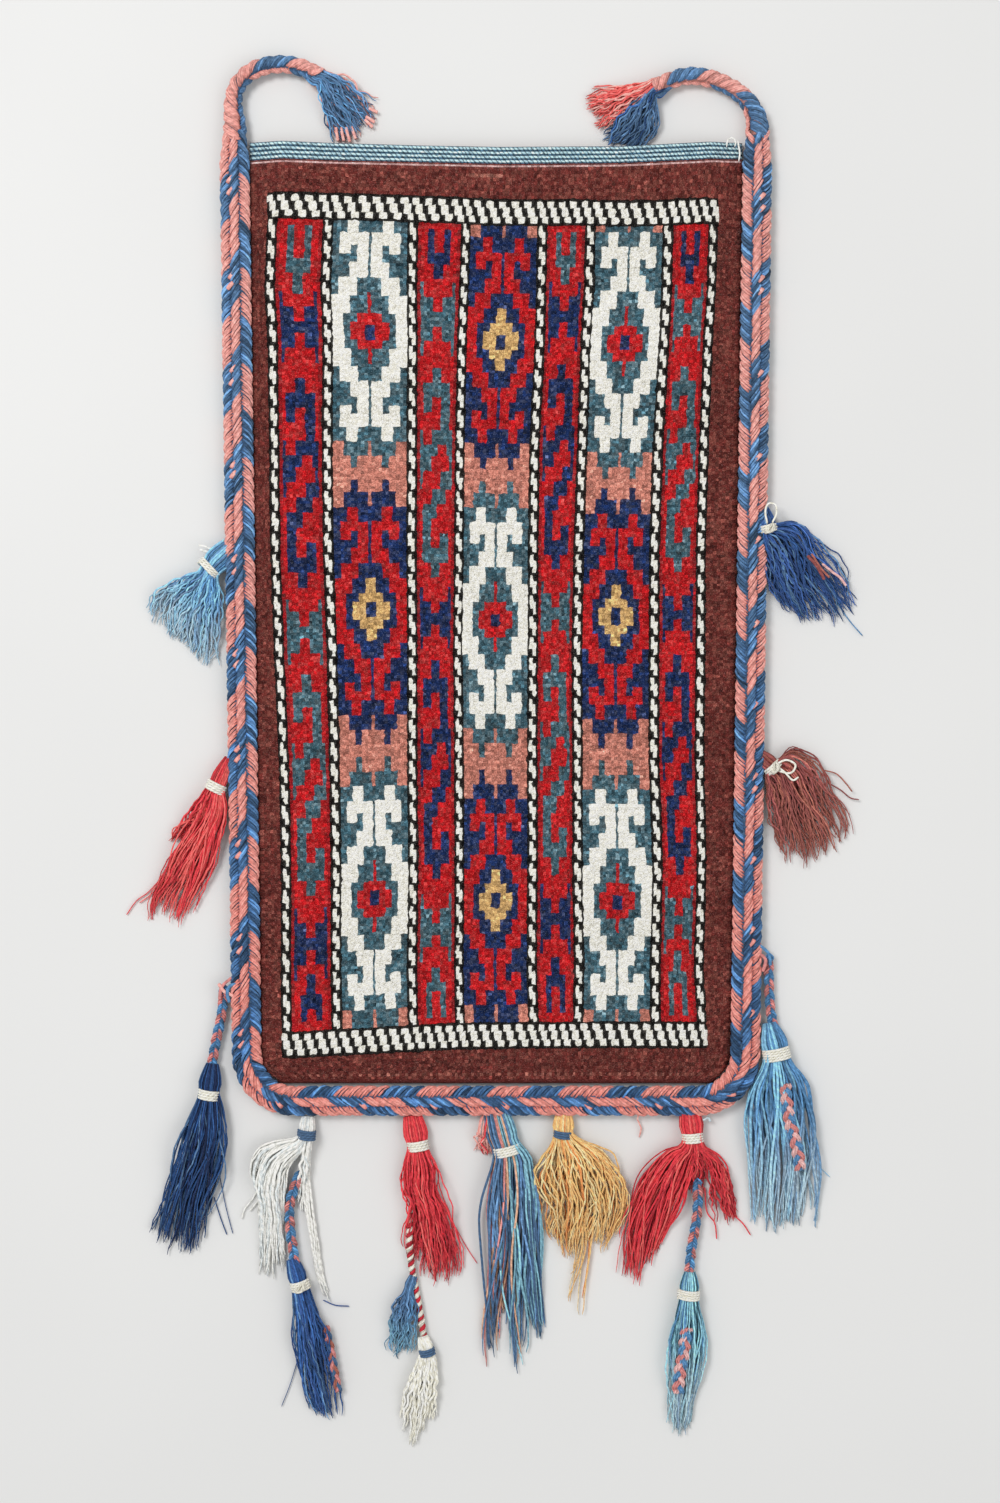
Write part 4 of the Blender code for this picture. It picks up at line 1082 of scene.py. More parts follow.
        # Painted glint: a few knots a little towards white, fewer on black; some teal knots then get real
        # pale flecks.
        glint_and_fleck = self.glint * rng.random((rows, columns)) ** 4
        glint_and_fleck = np.where(numbers == PileChart.number(Dye.BLACK), self.black_glint * glint_and_fleck, glint_and_fleck)
        glint_and_fleck = np.where(teal & (flecks < self.teal_flecks[0]), self.teal_flecks[1], glint_and_fleck)
        share = np.where(maroon & (flecks < self.maroon_flecks[0]), self.maroon_flecks[1], glint_and_fleck)[..., None]
        target = np.where(maroon[..., None], Dye.MAROON_LIGHT.linear(), Dye.WHITE.linear())
        colours = colours * (1 - share) + target * share
        colours = colours * (shade * abrash[:, None])[..., None]
        padded = np.pad(colours, ((1, 1), (1, 1), (0, 0)), mode="edge")
        around = (padded[:-1, :-1] + padded[1:, :-1] + padded[:-1, 1:] + padded[1:, 1:]) / 4
        corners = np.stack([around[:-1, :-1], around[1:, :-1], around[1:, 1:], around[:-1, 1:]], axis=2)
        mixed = (1 - self.corner_share) * colours[:, :, None] + self.corner_share * corners
        return np.clip(mixed, 0.0, self.brightest)

    def build(self) -> Piece:
        """Builds the strip.

        Returns:
            The piece, standing for the CAD cloth.
        """
        face = self.face_points()[::-1]
        columns = face.shape[1]
        across = self.column_lines(np.zeros(1))[0] / self.half_width(np.zeros(1))[0]
        down = np.linspace(self.length / 2, -self.length / 2 + self.fold, self.back_rows + 1)
        mouth = face[-1, :, 1] - self.length / 2
        half = self.half_width(down) - self.corner_cut(down)
        fade = (down + self.length / 2) / self.length
        back = np.stack([across * half[:, None], down[:, None] + mouth * fade[:, None],
                         np.zeros((len(down), columns))], axis=-1)
        turn = np.linspace(0.0, math.pi, self.fold_rows + 1)[1:-1, None]
        low, high = back[-1], face[0]
        risen = 0.5 - 0.5 * np.cos(turn)
        fold = np.stack([low[:, 0] * (1.0 - risen) + high[:, 0] * risen,
                         low[:, 1] - self.fold * np.sin(turn), high[:, 2] * risen], axis=-1)
        outer = np.concatenate([back, fold, face])
        return self.sew(outer, len(back), len(fold))

    def sew(self, outer: Array, back_rows: int, fold_rows: int) -> Piece:
        """Adds the inner face to the outer one and closes the mouths and the sides.

        Args:
            outer: Points of the outer face, (rows, columns, 3).
            back_rows: Rows of points of the back in it.
            fold_rows: Rows of points of the fold in it.

        Returns:
            The piece.
        """
        rows, columns = outer.shape[:2]
        face_start = back_rows + fold_rows
        keep = np.unique(np.concatenate([np.arange(0, back_rows, self.inner_step // 2), [back_rows - 1],
                                         np.arange(face_start, rows, self.inner_step), [rows - 1]]))
        inner = outer[keep].copy()
        on_back = keep < back_rows
        inner[on_back, :, 2] += self.back_thickness
        inner[on_back, :, 2] = np.minimum(inner[on_back, :, 2], self.back_thickness)
        smooth_height = self.front_height(inner[~on_back, :, 0], inner[~on_back, :, 1])
        lowest = self.back_thickness + self.pocket_gap
        inner[~on_back, :, 2] = np.maximum(smooth_height - self.pile_thickness, lowest)
        match = np.clip(np.searchsorted(keep, np.arange(rows), side="right") - 1, 0, len(keep) - 1)
        match[back_rows:face_start] = np.flatnonzero(keep == back_rows - 1)[0]
        points = np.vstack([outer.reshape(-1, 3), inner.reshape(-1, 3)])
        base = rows * columns

        def grid(first: int, count: int) -> Whole:
            """Quads of a grid whose rows lie one after another in the list of points."""
            row, column = np.meshgrid(np.arange(count - 1), np.arange(columns - 1), indexing="ij")
            corner = first + row * columns + column
            return np.stack([corner, corner + 1, corner + columns + 1, corner + columns], axis=-1)

        outside = grid(0, rows)
        inside = grid(base, len(keep))[:, :, [0, 3, 2, 1]]
        lips = []
        column = np.arange(columns - 1)
        last, inner_last = (rows - 1) * columns, base + (len(keep) - 1) * columns
        lips.append(np.stack([last + column, last + column + 1, inner_last + column + 1,
                              inner_last + column], axis=-1))
        lips.append(np.stack([column + 1, column, base + column, base + column + 1], axis=-1))
        sides: list[tuple[int, ...]] = []
        for edge, flip in ((0, True), (columns - 1, False)):
            for row in range(rows - 1):
                a, b = base + match[row] * columns + edge, base + match[row + 1] * columns + edge
                here, there = row * columns + edge, (row + 1) * columns + edge
                ring = (here, a, there) if a == b else (here, a, b, there)
                sides.append(ring if not flip else ring[::-1])
        return self.dress(points, outside, inside, np.vstack(lips), sides, face_start)

    def dress(self, points: Array, outside: Whole, inside: Whole,
              lips: Whole, sides: list[tuple[int, ...]], face_start: int) -> Piece:
        """Gives the strip its dyes, its map in knots and its three finishes, and places it.

        Args:
            points: All points.
            outside: Quads of the outer face, (rows, columns, 4).
            inside: Quads of the inner face.
            lips: Quads that close the two mouths.
            sides: Faces that close the two sides.
            face_start: First row of the pile face in the outer face.

        Returns:
            The piece.
        """
        rng = np.random.default_rng(self.seed + 2)
        weft = Dye.WEFT.linear()
        face_dyes = self.face_dyes()[::-1][:, :, [1, 2, 3, 0]]
        outer_dyes = np.empty((*outside.shape, 3))
        outer_dyes[:face_start] = weft * rng.normal(1.0, 0.06, (face_start, outside.shape[1], 1, 1))
        outer_dyes[face_start - PILE_LAP:face_start] = Dye.MAROON.linear()
        outer_dyes[face_start:] = face_dyes
        row, column = np.meshgrid(np.arange(outside.shape[0]), np.arange(outside.shape[1]), indexing="ij")
        chart = np.stack([np.stack([column, column + 1, column + 1, column], axis=-1),
                          np.stack([row, row, row + 1, row + 1], axis=-1)], axis=-1).astype(float)
        chart[:face_start - PILE_LAP, :, :, 1] *= self.weave_map
        quads = np.vstack([outside.reshape(-1, 4), inside.reshape(-1, 4), lips])
        plain = len(quads) - outside.shape[0] * outside.shape[1]
        dyes = np.vstack([outer_dyes.reshape(-1, 4, 3), np.tile(weft, (plain, 4, 1))])
        charts = np.vstack([chart.reshape(-1, 4, 2), np.zeros((plain, 4, 2))])
        zone = np.full(outside.shape[:2], Zone.PILE.value)
        zone[:face_start - PILE_LAP] = Zone.WEAVE.value
        zone[-self.rib_rows:] = Zone.BAND.value
        zones = np.concatenate([zone.ravel(), np.full(plain, Zone.WEAVE.value),
                                np.full(len(sides), Zone.PILE.value)])
        side_dyes = np.tile(Dye.MAROON.linear(), (len(sides), 1))
        mesh = Mesh(points, quads, dyes, charts, sides, side_dyes, zones)
        piece = mesh.place("woven_strip", "bag_cloth", Slot.PILE, PILE_FINISH, WEAVE_FINISH, BAND_FINISH)
        return piece


# Plaits

PALE_SHARE = 0.14
PALE_GAIN = 1.5


@dataclass(frozen=True)
class PlaitRow:
    """One row of stitches round a cord.

    Attributes:
        start: Where its stitches start in the section, in degrees: 0 outer side, 90 top, 180 inner side.
        end: Where they end.
        run: How far a stitch runs on along the cord, as a share of half the width.
        delay: How much later its colours change than the first row's, in photograph pixels.
    """

    start: float
    end: float
    run: float
    delay: float = 0.0


@dataclass(frozen=True)
class Plait:
    """A plaited cord: slanted stitches of a few yarns each, in rows round a plain core.

    While a yarn crosses its row it runs on along the cord and stands out by sin(pi t), so both of its ends
    tuck in under the next rows. The outer yarns of a stitch lie a little lower than the middle ones.

    Attributes:
        pitch: Length of one stitch along the cord.
        rows: The rows.
        yarns: Yarns in a stitch.
        yarn: Radius of a yarn.
        tuck: How deep a yarn's ends lie.
    """

    pitch: float
    rows: tuple[PlaitRow, ...]
    yarns: int = 4
    yarn: float = 0.78 * MM
    tuck: float = 1.5 * MM
    rings: int = 7
    # Painted shade: how dark a tucked-in end and a stitch's outer yarns are, and how much deeper in colour
    # the shaded places get.
    tucked_shade: float = 0.66
    deepening: float = 1.3
    over_run: float = 3.0 * MM
    wander: float = 0.05
    turn_wander: float = 2.0
    depth_wander: float = 0.10 * MM
    look_ahead: float = 0.2 * MM
    core_step: float = 6.0 * MM
    core_sides: int = 16
    core_depth: float = 1.3
    # Painted shade: the core's dye is darkened where it shows between the stitches.
    core_shade: float = 0.5

    def shaded(self, dyes: Array) -> Array:
        """Dyes along the yarns, (yarns, rings, 3), with painted shade where the ends tuck in: darker there,
        and deeper in colour as light bounced between yarns would make them.
        """
        t = np.linspace(0.0, 1.0, self.rings)
        shade = self.darkened(np.sin(math.pi * t) ** 0.5)[:, None]
        hue = dyes / np.maximum(dyes.max(axis=1, keepdims=True), DARKEST)
        return dyes[:, None] * shade * hue[:, None] ** (self.deepening * (1.0 - shade))

    def darkened(self, light: Array) -> Array:
        """Painted shade between a tucked-in place, where light is 0, and the open, where it is 1."""
        return self.tucked_shade + (1.0 - self.tucked_shade) * light

    def lines(self, route: Array, half_width: Array, half_height: Array,
              rng: Rng) -> tuple[Array, Whole, Array, Array]:
        """Centre lines of all yarns.

        Args:
            route: Dense centre line, (points, 3).
            half_width: Half the width at each of the route's points.
            half_height: Half the height there.
            rng: Source of the unevenness.

        Returns:
            (lines (yarns, rings, 3), number of the row, distance where the stitch starts, and painted shade
            from a stitch's middle, 1, to its darker sides, each one number a yarn).
        """
        total = float(reach_of(route)[-1])
        count = round(total / self.pitch)
        pitch = total / count
        over = self.over_run
        head = (route[0] - route[1]) / np.linalg.norm(route[0] - route[1])
        tail = (route[-1] - route[-2]) / np.linalg.norm(route[-1] - route[-2])
        route = np.vstack([route[0] + head * over, route, route[-1] + tail * over])
        half_width = np.pad(half_width, 1, mode="edge")
        half_height = np.pad(half_height, 1, mode="edge")
        reach = reach_of(route) - over
        t = np.linspace(0.0, 1.0, self.rings)
        share = (np.arange(self.yarns) + 0.5) / self.yarns
        half = float(np.median(half_width))
        # Painted shade: a stitch's outer yarns darker than its middle ones.
        side = self.darkened(np.cos(math.pi * (share - 0.5)))
        lines, rows, starts, shades = [], [], [], []
        for number, row in enumerate(self.rows):
            start = (np.arange(-1, count) + 0.5 * (number % 2)) * pitch
            start = start + rng.normal(0.0, self.wander * pitch, start.shape)
            begin = (start[:, None] + share * pitch).ravel()
            keep = (begin + row.run * half > 0.5 * over) & (begin < total - 0.5 * over)
            place = np.clip(begin[keep, None] + row.run * half * t, -0.9 * over, total + 0.9 * over)
            turned = rng.normal(0.0, self.turn_wander, (keep.sum(), 1))
            angle = np.radians(row.start + (row.end - row.start) * t + turned)
            crown = np.tile(1.0 - np.cos(math.pi * (share - 0.5)), len(start))[keep, None] * self.tuck * 0.8
            depth = self.yarn + crown + self.tuck * (1.0 - np.sin(math.pi * t) ** 0.6)
            depth = depth + rng.normal(0.0, self.depth_wander, (keep.sum(), 1))
            centre = np.stack([np.interp(place, reach, route[:, k]) for k in range(3)], axis=-1)
            fore, back = place + self.look_ahead, place - self.look_ahead
            ahead = np.stack([np.interp(fore, reach, route[:, k]) - np.interp(back, reach, route[:, k])
                              for k in range(2)], axis=-1)
            ahead /= np.linalg.norm(ahead, axis=-1, keepdims=True)
            wide = (np.interp(place, reach, half_width) - depth) * np.cos(angle)
            centre[..., 0] += ahead[..., 1] * wide
            centre[..., 1] -= ahead[..., 0] * wide
            centre[..., 2] += (np.interp(place, reach, half_height) - depth) * np.sin(angle)
            lines.append(centre)
            rows.append(np.full(keep.sum(), number))
            starts.append(np.repeat(start, self.yarns)[keep])
            shades.append(np.tile(side, len(start))[keep])
        return np.concatenate(lines), np.concatenate(rows), np.concatenate(starts), np.concatenate(shades)

    def core(self, route: Array, half_width: Array, half_height: Array, dye: Dye) -> Mesh:
        """A plain core inside the stitches, its dye darkened by core_shade as painted shade where it shows
        between them.

        Args:
            route: Dense centre line.
            half_width: Half the width along it.
            half_height: Half the height along it.
            dye: The core's dye.

        Returns:
            Its mesh: ellipses a little smaller than the cord, at even steps.
        """
        step = max(1, round(len(route) / (reach_of(route)[-1] / self.core_step)))
        picked = np.unique(np.append(np.arange(0, len(route), step), len(route) - 1))
        _, beside, above = ring_frames(route[None, picked])
        angle = TURN * np.arange(self.core_sides) / self.core_sides
        inset = self.core_depth * self.tuck
        wide = (half_width[picked] - inset)[:, None, None] * np.cos(angle)[:, None]
        tall = (half_height[picked] - inset)[:, None, None] * np.sin(angle)[:, None]
        rings = route[picked, None] + wide * beside[0, :, None] + tall * above[0, :, None]
        return tubes(rings[None], dye.linear() * self.core_shade, reach_of(route[picked])[None])


@dataclass
class EdgePlait:
    """The plaited cord sewn round the two sides and the foot."""

    width: float = 17.8 * MM
    thickness: float = 11.0 * MM
    end_width: float = 14.4 * MM
    end_height: float = 10.5 * MM
    overhang: float = 3.5 * MM
    taper: float = 16.0 * MM
    gap: float = 0.3 * MM
    inner_radius: float = 17.0 * MM
    samples: int = 3000
    salmon_share: float = 0.51
    salmon_spread: float = 0.10
    blue_spread: float = 0.55
    spot_spread: float = 0.05
    fade_top: float = 0.15
    fade_run: float = 0.42
    fade_depth: float = 0.24
    loose_yarn: float = 0.6 * MM
    seed: int = 21
    colour_reach: tuple[float, ...] = (-115, 121, 881, 1029, 1105, 1398, 1793, 1877, 2480)
    colour_turns: tuple[float, ...] = (-2.5, 0, 8, 10, 11, 14.9, 20, 21, 28.2)
    plait: Plait = Plait(6.5 * MM, (PlaitRow(108, 200, 1.05), PlaitRow(108, 66, 0.95, 27.0),
                                    PlaitRow(70, -20, 1.0, 50.0)))
    spots: Plait = Plait(6.5 * MM, (PlaitRow(86, 56, 0.42),), yarns=1, yarn=1.55 * MM, tuck=0.8 * MM)
    loose: tuple[tuple[Route, float, float, Dye], ...] = (
        ((738, 140, 739, 146, 740, 153, 739, 161), 7.6, 7.6, Dye.WOOL_WHITE),
        ((727, 146, 728, 139, 733, 137, 736, 141, 735, 146), 7.0, 7.6, Dye.WOOL_WHITE),
        ((641, 1112, 638, 1121, 642, 1130, 640, 1140), 4.0, 1.0, Dye.SALMON))

    def route(self, strip: WovenStrip) -> Array:
        """Centre line from the left mouth corner, round the foot, to the right mouth corner.

        Args:
            strip: The woven strip that it is sewn to.

        Returns:
            The line's points, straight down the sides and along the foot, with round corners.
        """
        off = self.gap + self.width / 2
        radius = self.inner_radius + off
        top = strip.length / 2 + self.overhang
        corner_y = -strip.length / 2 + self.inner_radius
        side_foot = float(strip.half_width(np.array(corner_y))) + off
        turn = np.linspace(math.pi, 1.5 * math.pi, 60)
        bend = np.stack([np.cos(turn), np.sin(turn)], axis=1) * radius + [radius - side_foot, corner_y]
        start = np.array([[-strip.mouth_width / 2 - off, top]])
        half = np.vstack([start, bend])
        flat = resample(np.vstack([half, half[::-1] * np.array([-1.0, 1.0])]), self.samples)
        return np.column_stack([flat, np.full(len(flat), self.thickness / 2)])

    def is_salmon(self, start: Array, row: int) -> NDArray[np.bool_]:
        """Whether the stitches of a row that start at these distances are salmon, and not blue.

        The two change places every half turn of the colour, first in the inner row, later in the others.
        """
        turn = np.interp(start / PIXEL - self.plait.rows[row].delay, self.colour_reach, self.colour_turns)
        return (turn % 1.0) < self.salmon_share

    def build(self, strip: WovenStrip) -> Piece:
        """Builds the edge plait, with small salmon spots where its two outer rows are both blue.

        Its dyes get deeper towards the foot. A few loose stitches at the mouth's right corner and the foot
        are part of it.

        Args:
            strip: The woven strip that it is sewn to.

        Returns:
            The piece, standing for the CAD plait.
        """
        rng = np.random.default_rng(self.seed)
        route = self.route(strip)
        reach = reach_of(route)
        full = smooth_step(np.minimum(reach, reach[-1] - reach) / self.taper)
        half_width = (self.end_width + (self.width - self.end_width) * full) / 2
        half_height = (self.end_height + (self.thickness - self.end_height) * full) / 2
        lines, rows, starts, shades = self.plait.lines(route, half_width, half_height, rng)
        salmon = np.choose(rows, [self.is_salmon(starts, row) for row in range(3)])
        spots, _, spot_starts, _ = self.spots.lines(route, half_width, half_height, rng)
        blue = ~self.is_salmon(spot_starts, 1) & ~self.is_salmon(spot_starts, 2)
        dyes = np.where(salmon[:, None], Dye.SALMON.linear(), Dye.PLAIT_BLUE.linear())
        dyes = np.vstack([dyes, np.tile(Dye.SALMON.linear(), (blue.sum(), 1))])
        height = np.concatenate([lines, spots[blue]])[..., 1].mean(axis=1)
        low = smooth_step((self.fade_top - height) / self.fade_run)
        dyes = dyes ** (1.0 + self.fade_depth * low)[:, None]
        spread = np.append(np.where(salmon, self.salmon_spread, self.blue_spread),
                           np.full(blue.sum(), self.spot_spread))[:, None]
        radius = np.full((len(lines), 1), self.plait.yarn)
        radius = np.vstack([radius, np.full((blue.sum(), 1), self.spots.yarn)])
        shades = np.append(shades, np.ones(blue.sum()))
        # Painted shade on the stitches' outer yarns and tucked-in ends.
        dyes = self.plait.shaded(uneven(dyes, rng, spread) * shades[:, None])
        apart = np.array([curve_through(lifted(points, first, last), self.plait.rings)
                          for points, first, last, _ in self.loose])
        dyes = np.concatenate([dyes, np.repeat(linear_of([dye for *_, dye in self.loose])[:, None],
                                               self.plait.rings, axis=1)])
        radius = np.vstack([radius, np.full((len(apart), 1), self.loose_yarn)])
        yarns = yarn_tubes(np.concatenate([lines, spots[blue], apart]), radius, dyes)
        core = self.plait.core(route, half_width, half_height, Dye.PLAIT_BLUE)
        return joined([yarns, core]).place("edge_plait", "edge_braid", Slot.PLAIT, PLAIT_FINISH)


def held_in(dyes: Array) -> Array:
    """Colours scaled down as a whole where a channel is too bright, so that their hue stays."""
    return dyes * np.minimum(1.0, BRIGHTEST / np.maximum(dyes.max(axis=-1, keepdims=True), DARKEST))


def uneven(dyes: Array, rng: Rng, spread: float | Array = 0.22) -> Array:
    """Dyed yarns with each one's own shade, and some much paler."""
    shade = np.exp(rng.normal(0.0, spread, (len(dyes), 1)))
    shade = np.where(rng.random(shade.shape) < PALE_SHARE, shade * PALE_GAIN, shade)
    return held_in(dyes * shade)


ROUND_ROWS = (PlaitRow(90, 200, 1.3), PlaitRow(90, -20, 1.3))
LEFT_TIE_ROWS = (PlaitRow(40, 205, 2.1), PlaitRow(40, -25, 0.9))
RIGHT_TIE_ROWS = (PlaitRow(-25, 160, 2.1), PlaitRow(205, 160, 0.9))
TWIST_ROWS = (PlaitRow(200, -20, 1.6),)


@dataclass(frozen=True)
class HangingPlait:
    """A short plaited cord or tie.

    Attributes:
        node: The CAD node that it stands for.
        route: Its points in millimetres, x and y in turn.
        diameter: Its diameter in metres.
        dyes: Dyes that its stitches take in turn.
        rows: Its rows of stitches.
        pitch: Length of a stitch.
        yarns: Yarns in a stitch.
        yarn: Radius of a yarn.
        changes: Distances in millimetres where the two dyes change places, or none for every stitch.
        flare: How much wider it starts, as a share of its width.
        heights: Heights of its first points in millimetres; the last one goes for the rest.
    """

    name: str
    node: str
    slot: Slot
    route: Route
    diameter: float
    dyes: tuple[Dye, ...]
    rows: tuple[PlaitRow, ...] = ROUND_ROWS
    pitch: float = 5.6 * MM
    yarns: int = 4
    yarn: float = 0.62 * MM
    changes: tuple[float, ...] = ()
    flare: float = 0.0
    heights: tuple[float, ...] = (3.3,)

    def stitch_dyes(self, rows: Whole, starts: Array) -> Array:
        """Linear colours of yarns by their row and where their stitch starts."""
        if self.changes:
            turn = np.searchsorted(np.array(self.changes) * MM, starts) + rows
        else:
            turn = np.round(starts / self.pitch * len(self.rows)).astype(int)
        return linear_of(self.dyes)[turn % len(self.dyes)]

    def line(self) -> Array:
        """The cord's points in metres, the same as the CAD route's own."""
        flat = np.reshape(self.route, (-1, 2))
        heights = np.pad(self.heights, (0, len(flat) - len(self.heights)), mode="edge")
        return np.column_stack([flat, heights]) * MM

    def build(self, pieces: Sequence[Piece]) -> Piece:
        """Args:
            pieces: Pieces that hang on it; not used.

        Returns:
            The piece.
        """
        route = curve_through(self.line(), 400)
        plait = Plait(self.pitch, self.rows, yarns=self.yarns, yarn=self.yarn, tuck=0.13 * self.diameter)
        half = np.full(len(route), self.diameter / 2)
        wide = half * (1.0 + self.flare * (1.0 - smooth_step(reach_of(route) / (26.0 * MM))))
        rng = np.random.default_rng(len(self.name))
        lines, rows, starts, shades = plait.lines(route, wide, half, rng)
        # Painted shade on the stitches' outer yarns and tucked-in ends.
        dyes = plait.shaded(uneven(self.stitch_dyes(rows, starts), rng) * shades[:, None])
        yarns = yarn_tubes(lines, np.array(plait.yarn), dyes)
        mesh = joined([yarns, plait.core(route, half, half, self.dyes[-1])])
        piece = mesh.place(self.name, self.node, self.slot, PLAIT_FINISH)
        line = self.line()
        tuple(line[0])
        float(reach_of(line)[-1])
        list(pieces)
        return piece


# Tassels

TIP_SAMPLES = 60


@dataclass(frozen=True)
class Lock:
    """One lock of yarn below a tassel's neck.

    Attributes:
        left: Left outline from the neck to the tips.
        right: Right outline.
        tips: Points of the ragged end between the two, from left to right.
        yarns: How many yarns are in it.
        height: How high it lies, in millimetres.
        share: Part of the neck that it leaves from, from 0 (left) to 1 (right).
        dyes: Its own dyes, or none for the tassel's.
    """

    left: Route
    right: Route
    tips: Route = ()
    yarns: int = 50
    height: float = 11.0
    share: tuple[float, float] = (0.0, 1.0)
    dyes: Wool = ()


@dataclass(frozen=True)
class Stray:
    """One yarn that lies apart: its route, its dye, and its radius and height in millimetres."""

    route: Route
    dye: Dye
    radius: float = 0.38
    height: float = 1.0


@dataclass(frozen=True)
class Remnant:
    """The end of a plait inside a tassel: strands of a few yarns that wind round each other.

    Attributes:
        height: How high it lies, in millimetres.
        size: How thick it is, as a share of a full plait's thickness.
        dyes: The dye of each strand.
        yarns: Yarns in a strand.
        yarn: Radius of a yarn in a plait of full size, in millimetres.
        lay: Length of a full turn of the strands, in millimetres.
        spin: How fast a strand turns about its own middle, in radians a metre.
        swing: How far a strand moves across and up, and its yarns about its middle across and up, in mm.
    """

    route: Route
    height: float = 9.0
    size: float = 1.0
    dyes: tuple[Dye, ...] = (Dye.FADED_PINK, Dye.SKY_DARK, Dye.PALE_PINK)
    yarns: int = 5
    yarn: float = 0.72
    lay: float = 15.0
    spin: float = 160.0
    swing: tuple[float, float, float, float] = (2.1, 1.0, 1.05, 0.9)

    def lines(self, rings: int) -> Array:
        """Centre lines of its yarns, (yarns, rings, 3).

        A strand swings across and up and down, a third of a turn from the next one, and its yarns stand in
        a ring round its middle that turns slowly along the way.
        """
        flat = curve_through(on_bag(self.route), rings)
        reach = reach_of(flat)[None]
        ahead = np.gradient(flat, axis=0)
        ahead /= np.linalg.norm(ahead, axis=1, keepdims=True)
        turn = reach * (TURN / (self.lay * MM)) + np.arange(3)[:, None] * TURN / 3
        stand = np.arange(self.yarns) * TURN / self.yarns
        spin = stand[None, :, None] + (reach * self.spin)[:, None]
        wide, tall, ring_wide, ring_tall = np.array(self.swing) * (self.size * MM)
        across = (wide * np.sin(turn))[:, None] + ring_wide * np.cos(spin)
        z = self.height * MM + (tall * np.sin(2 * turn))[:, None] + ring_tall * np.sin(spin)
        beside = np.stack([ahead[:, 1], -ahead[:, 0]], axis=1)
        lines = np.concatenate([flat + beside * across[..., None], z[..., None]], axis=-1)
        return lines.reshape(-1, rings, 3)

    def yarn_dyes(self) -> list[Dye]:
        """The dye of each yarn."""
        return [dye for dye in self.dyes for _ in range(self.yarns)]


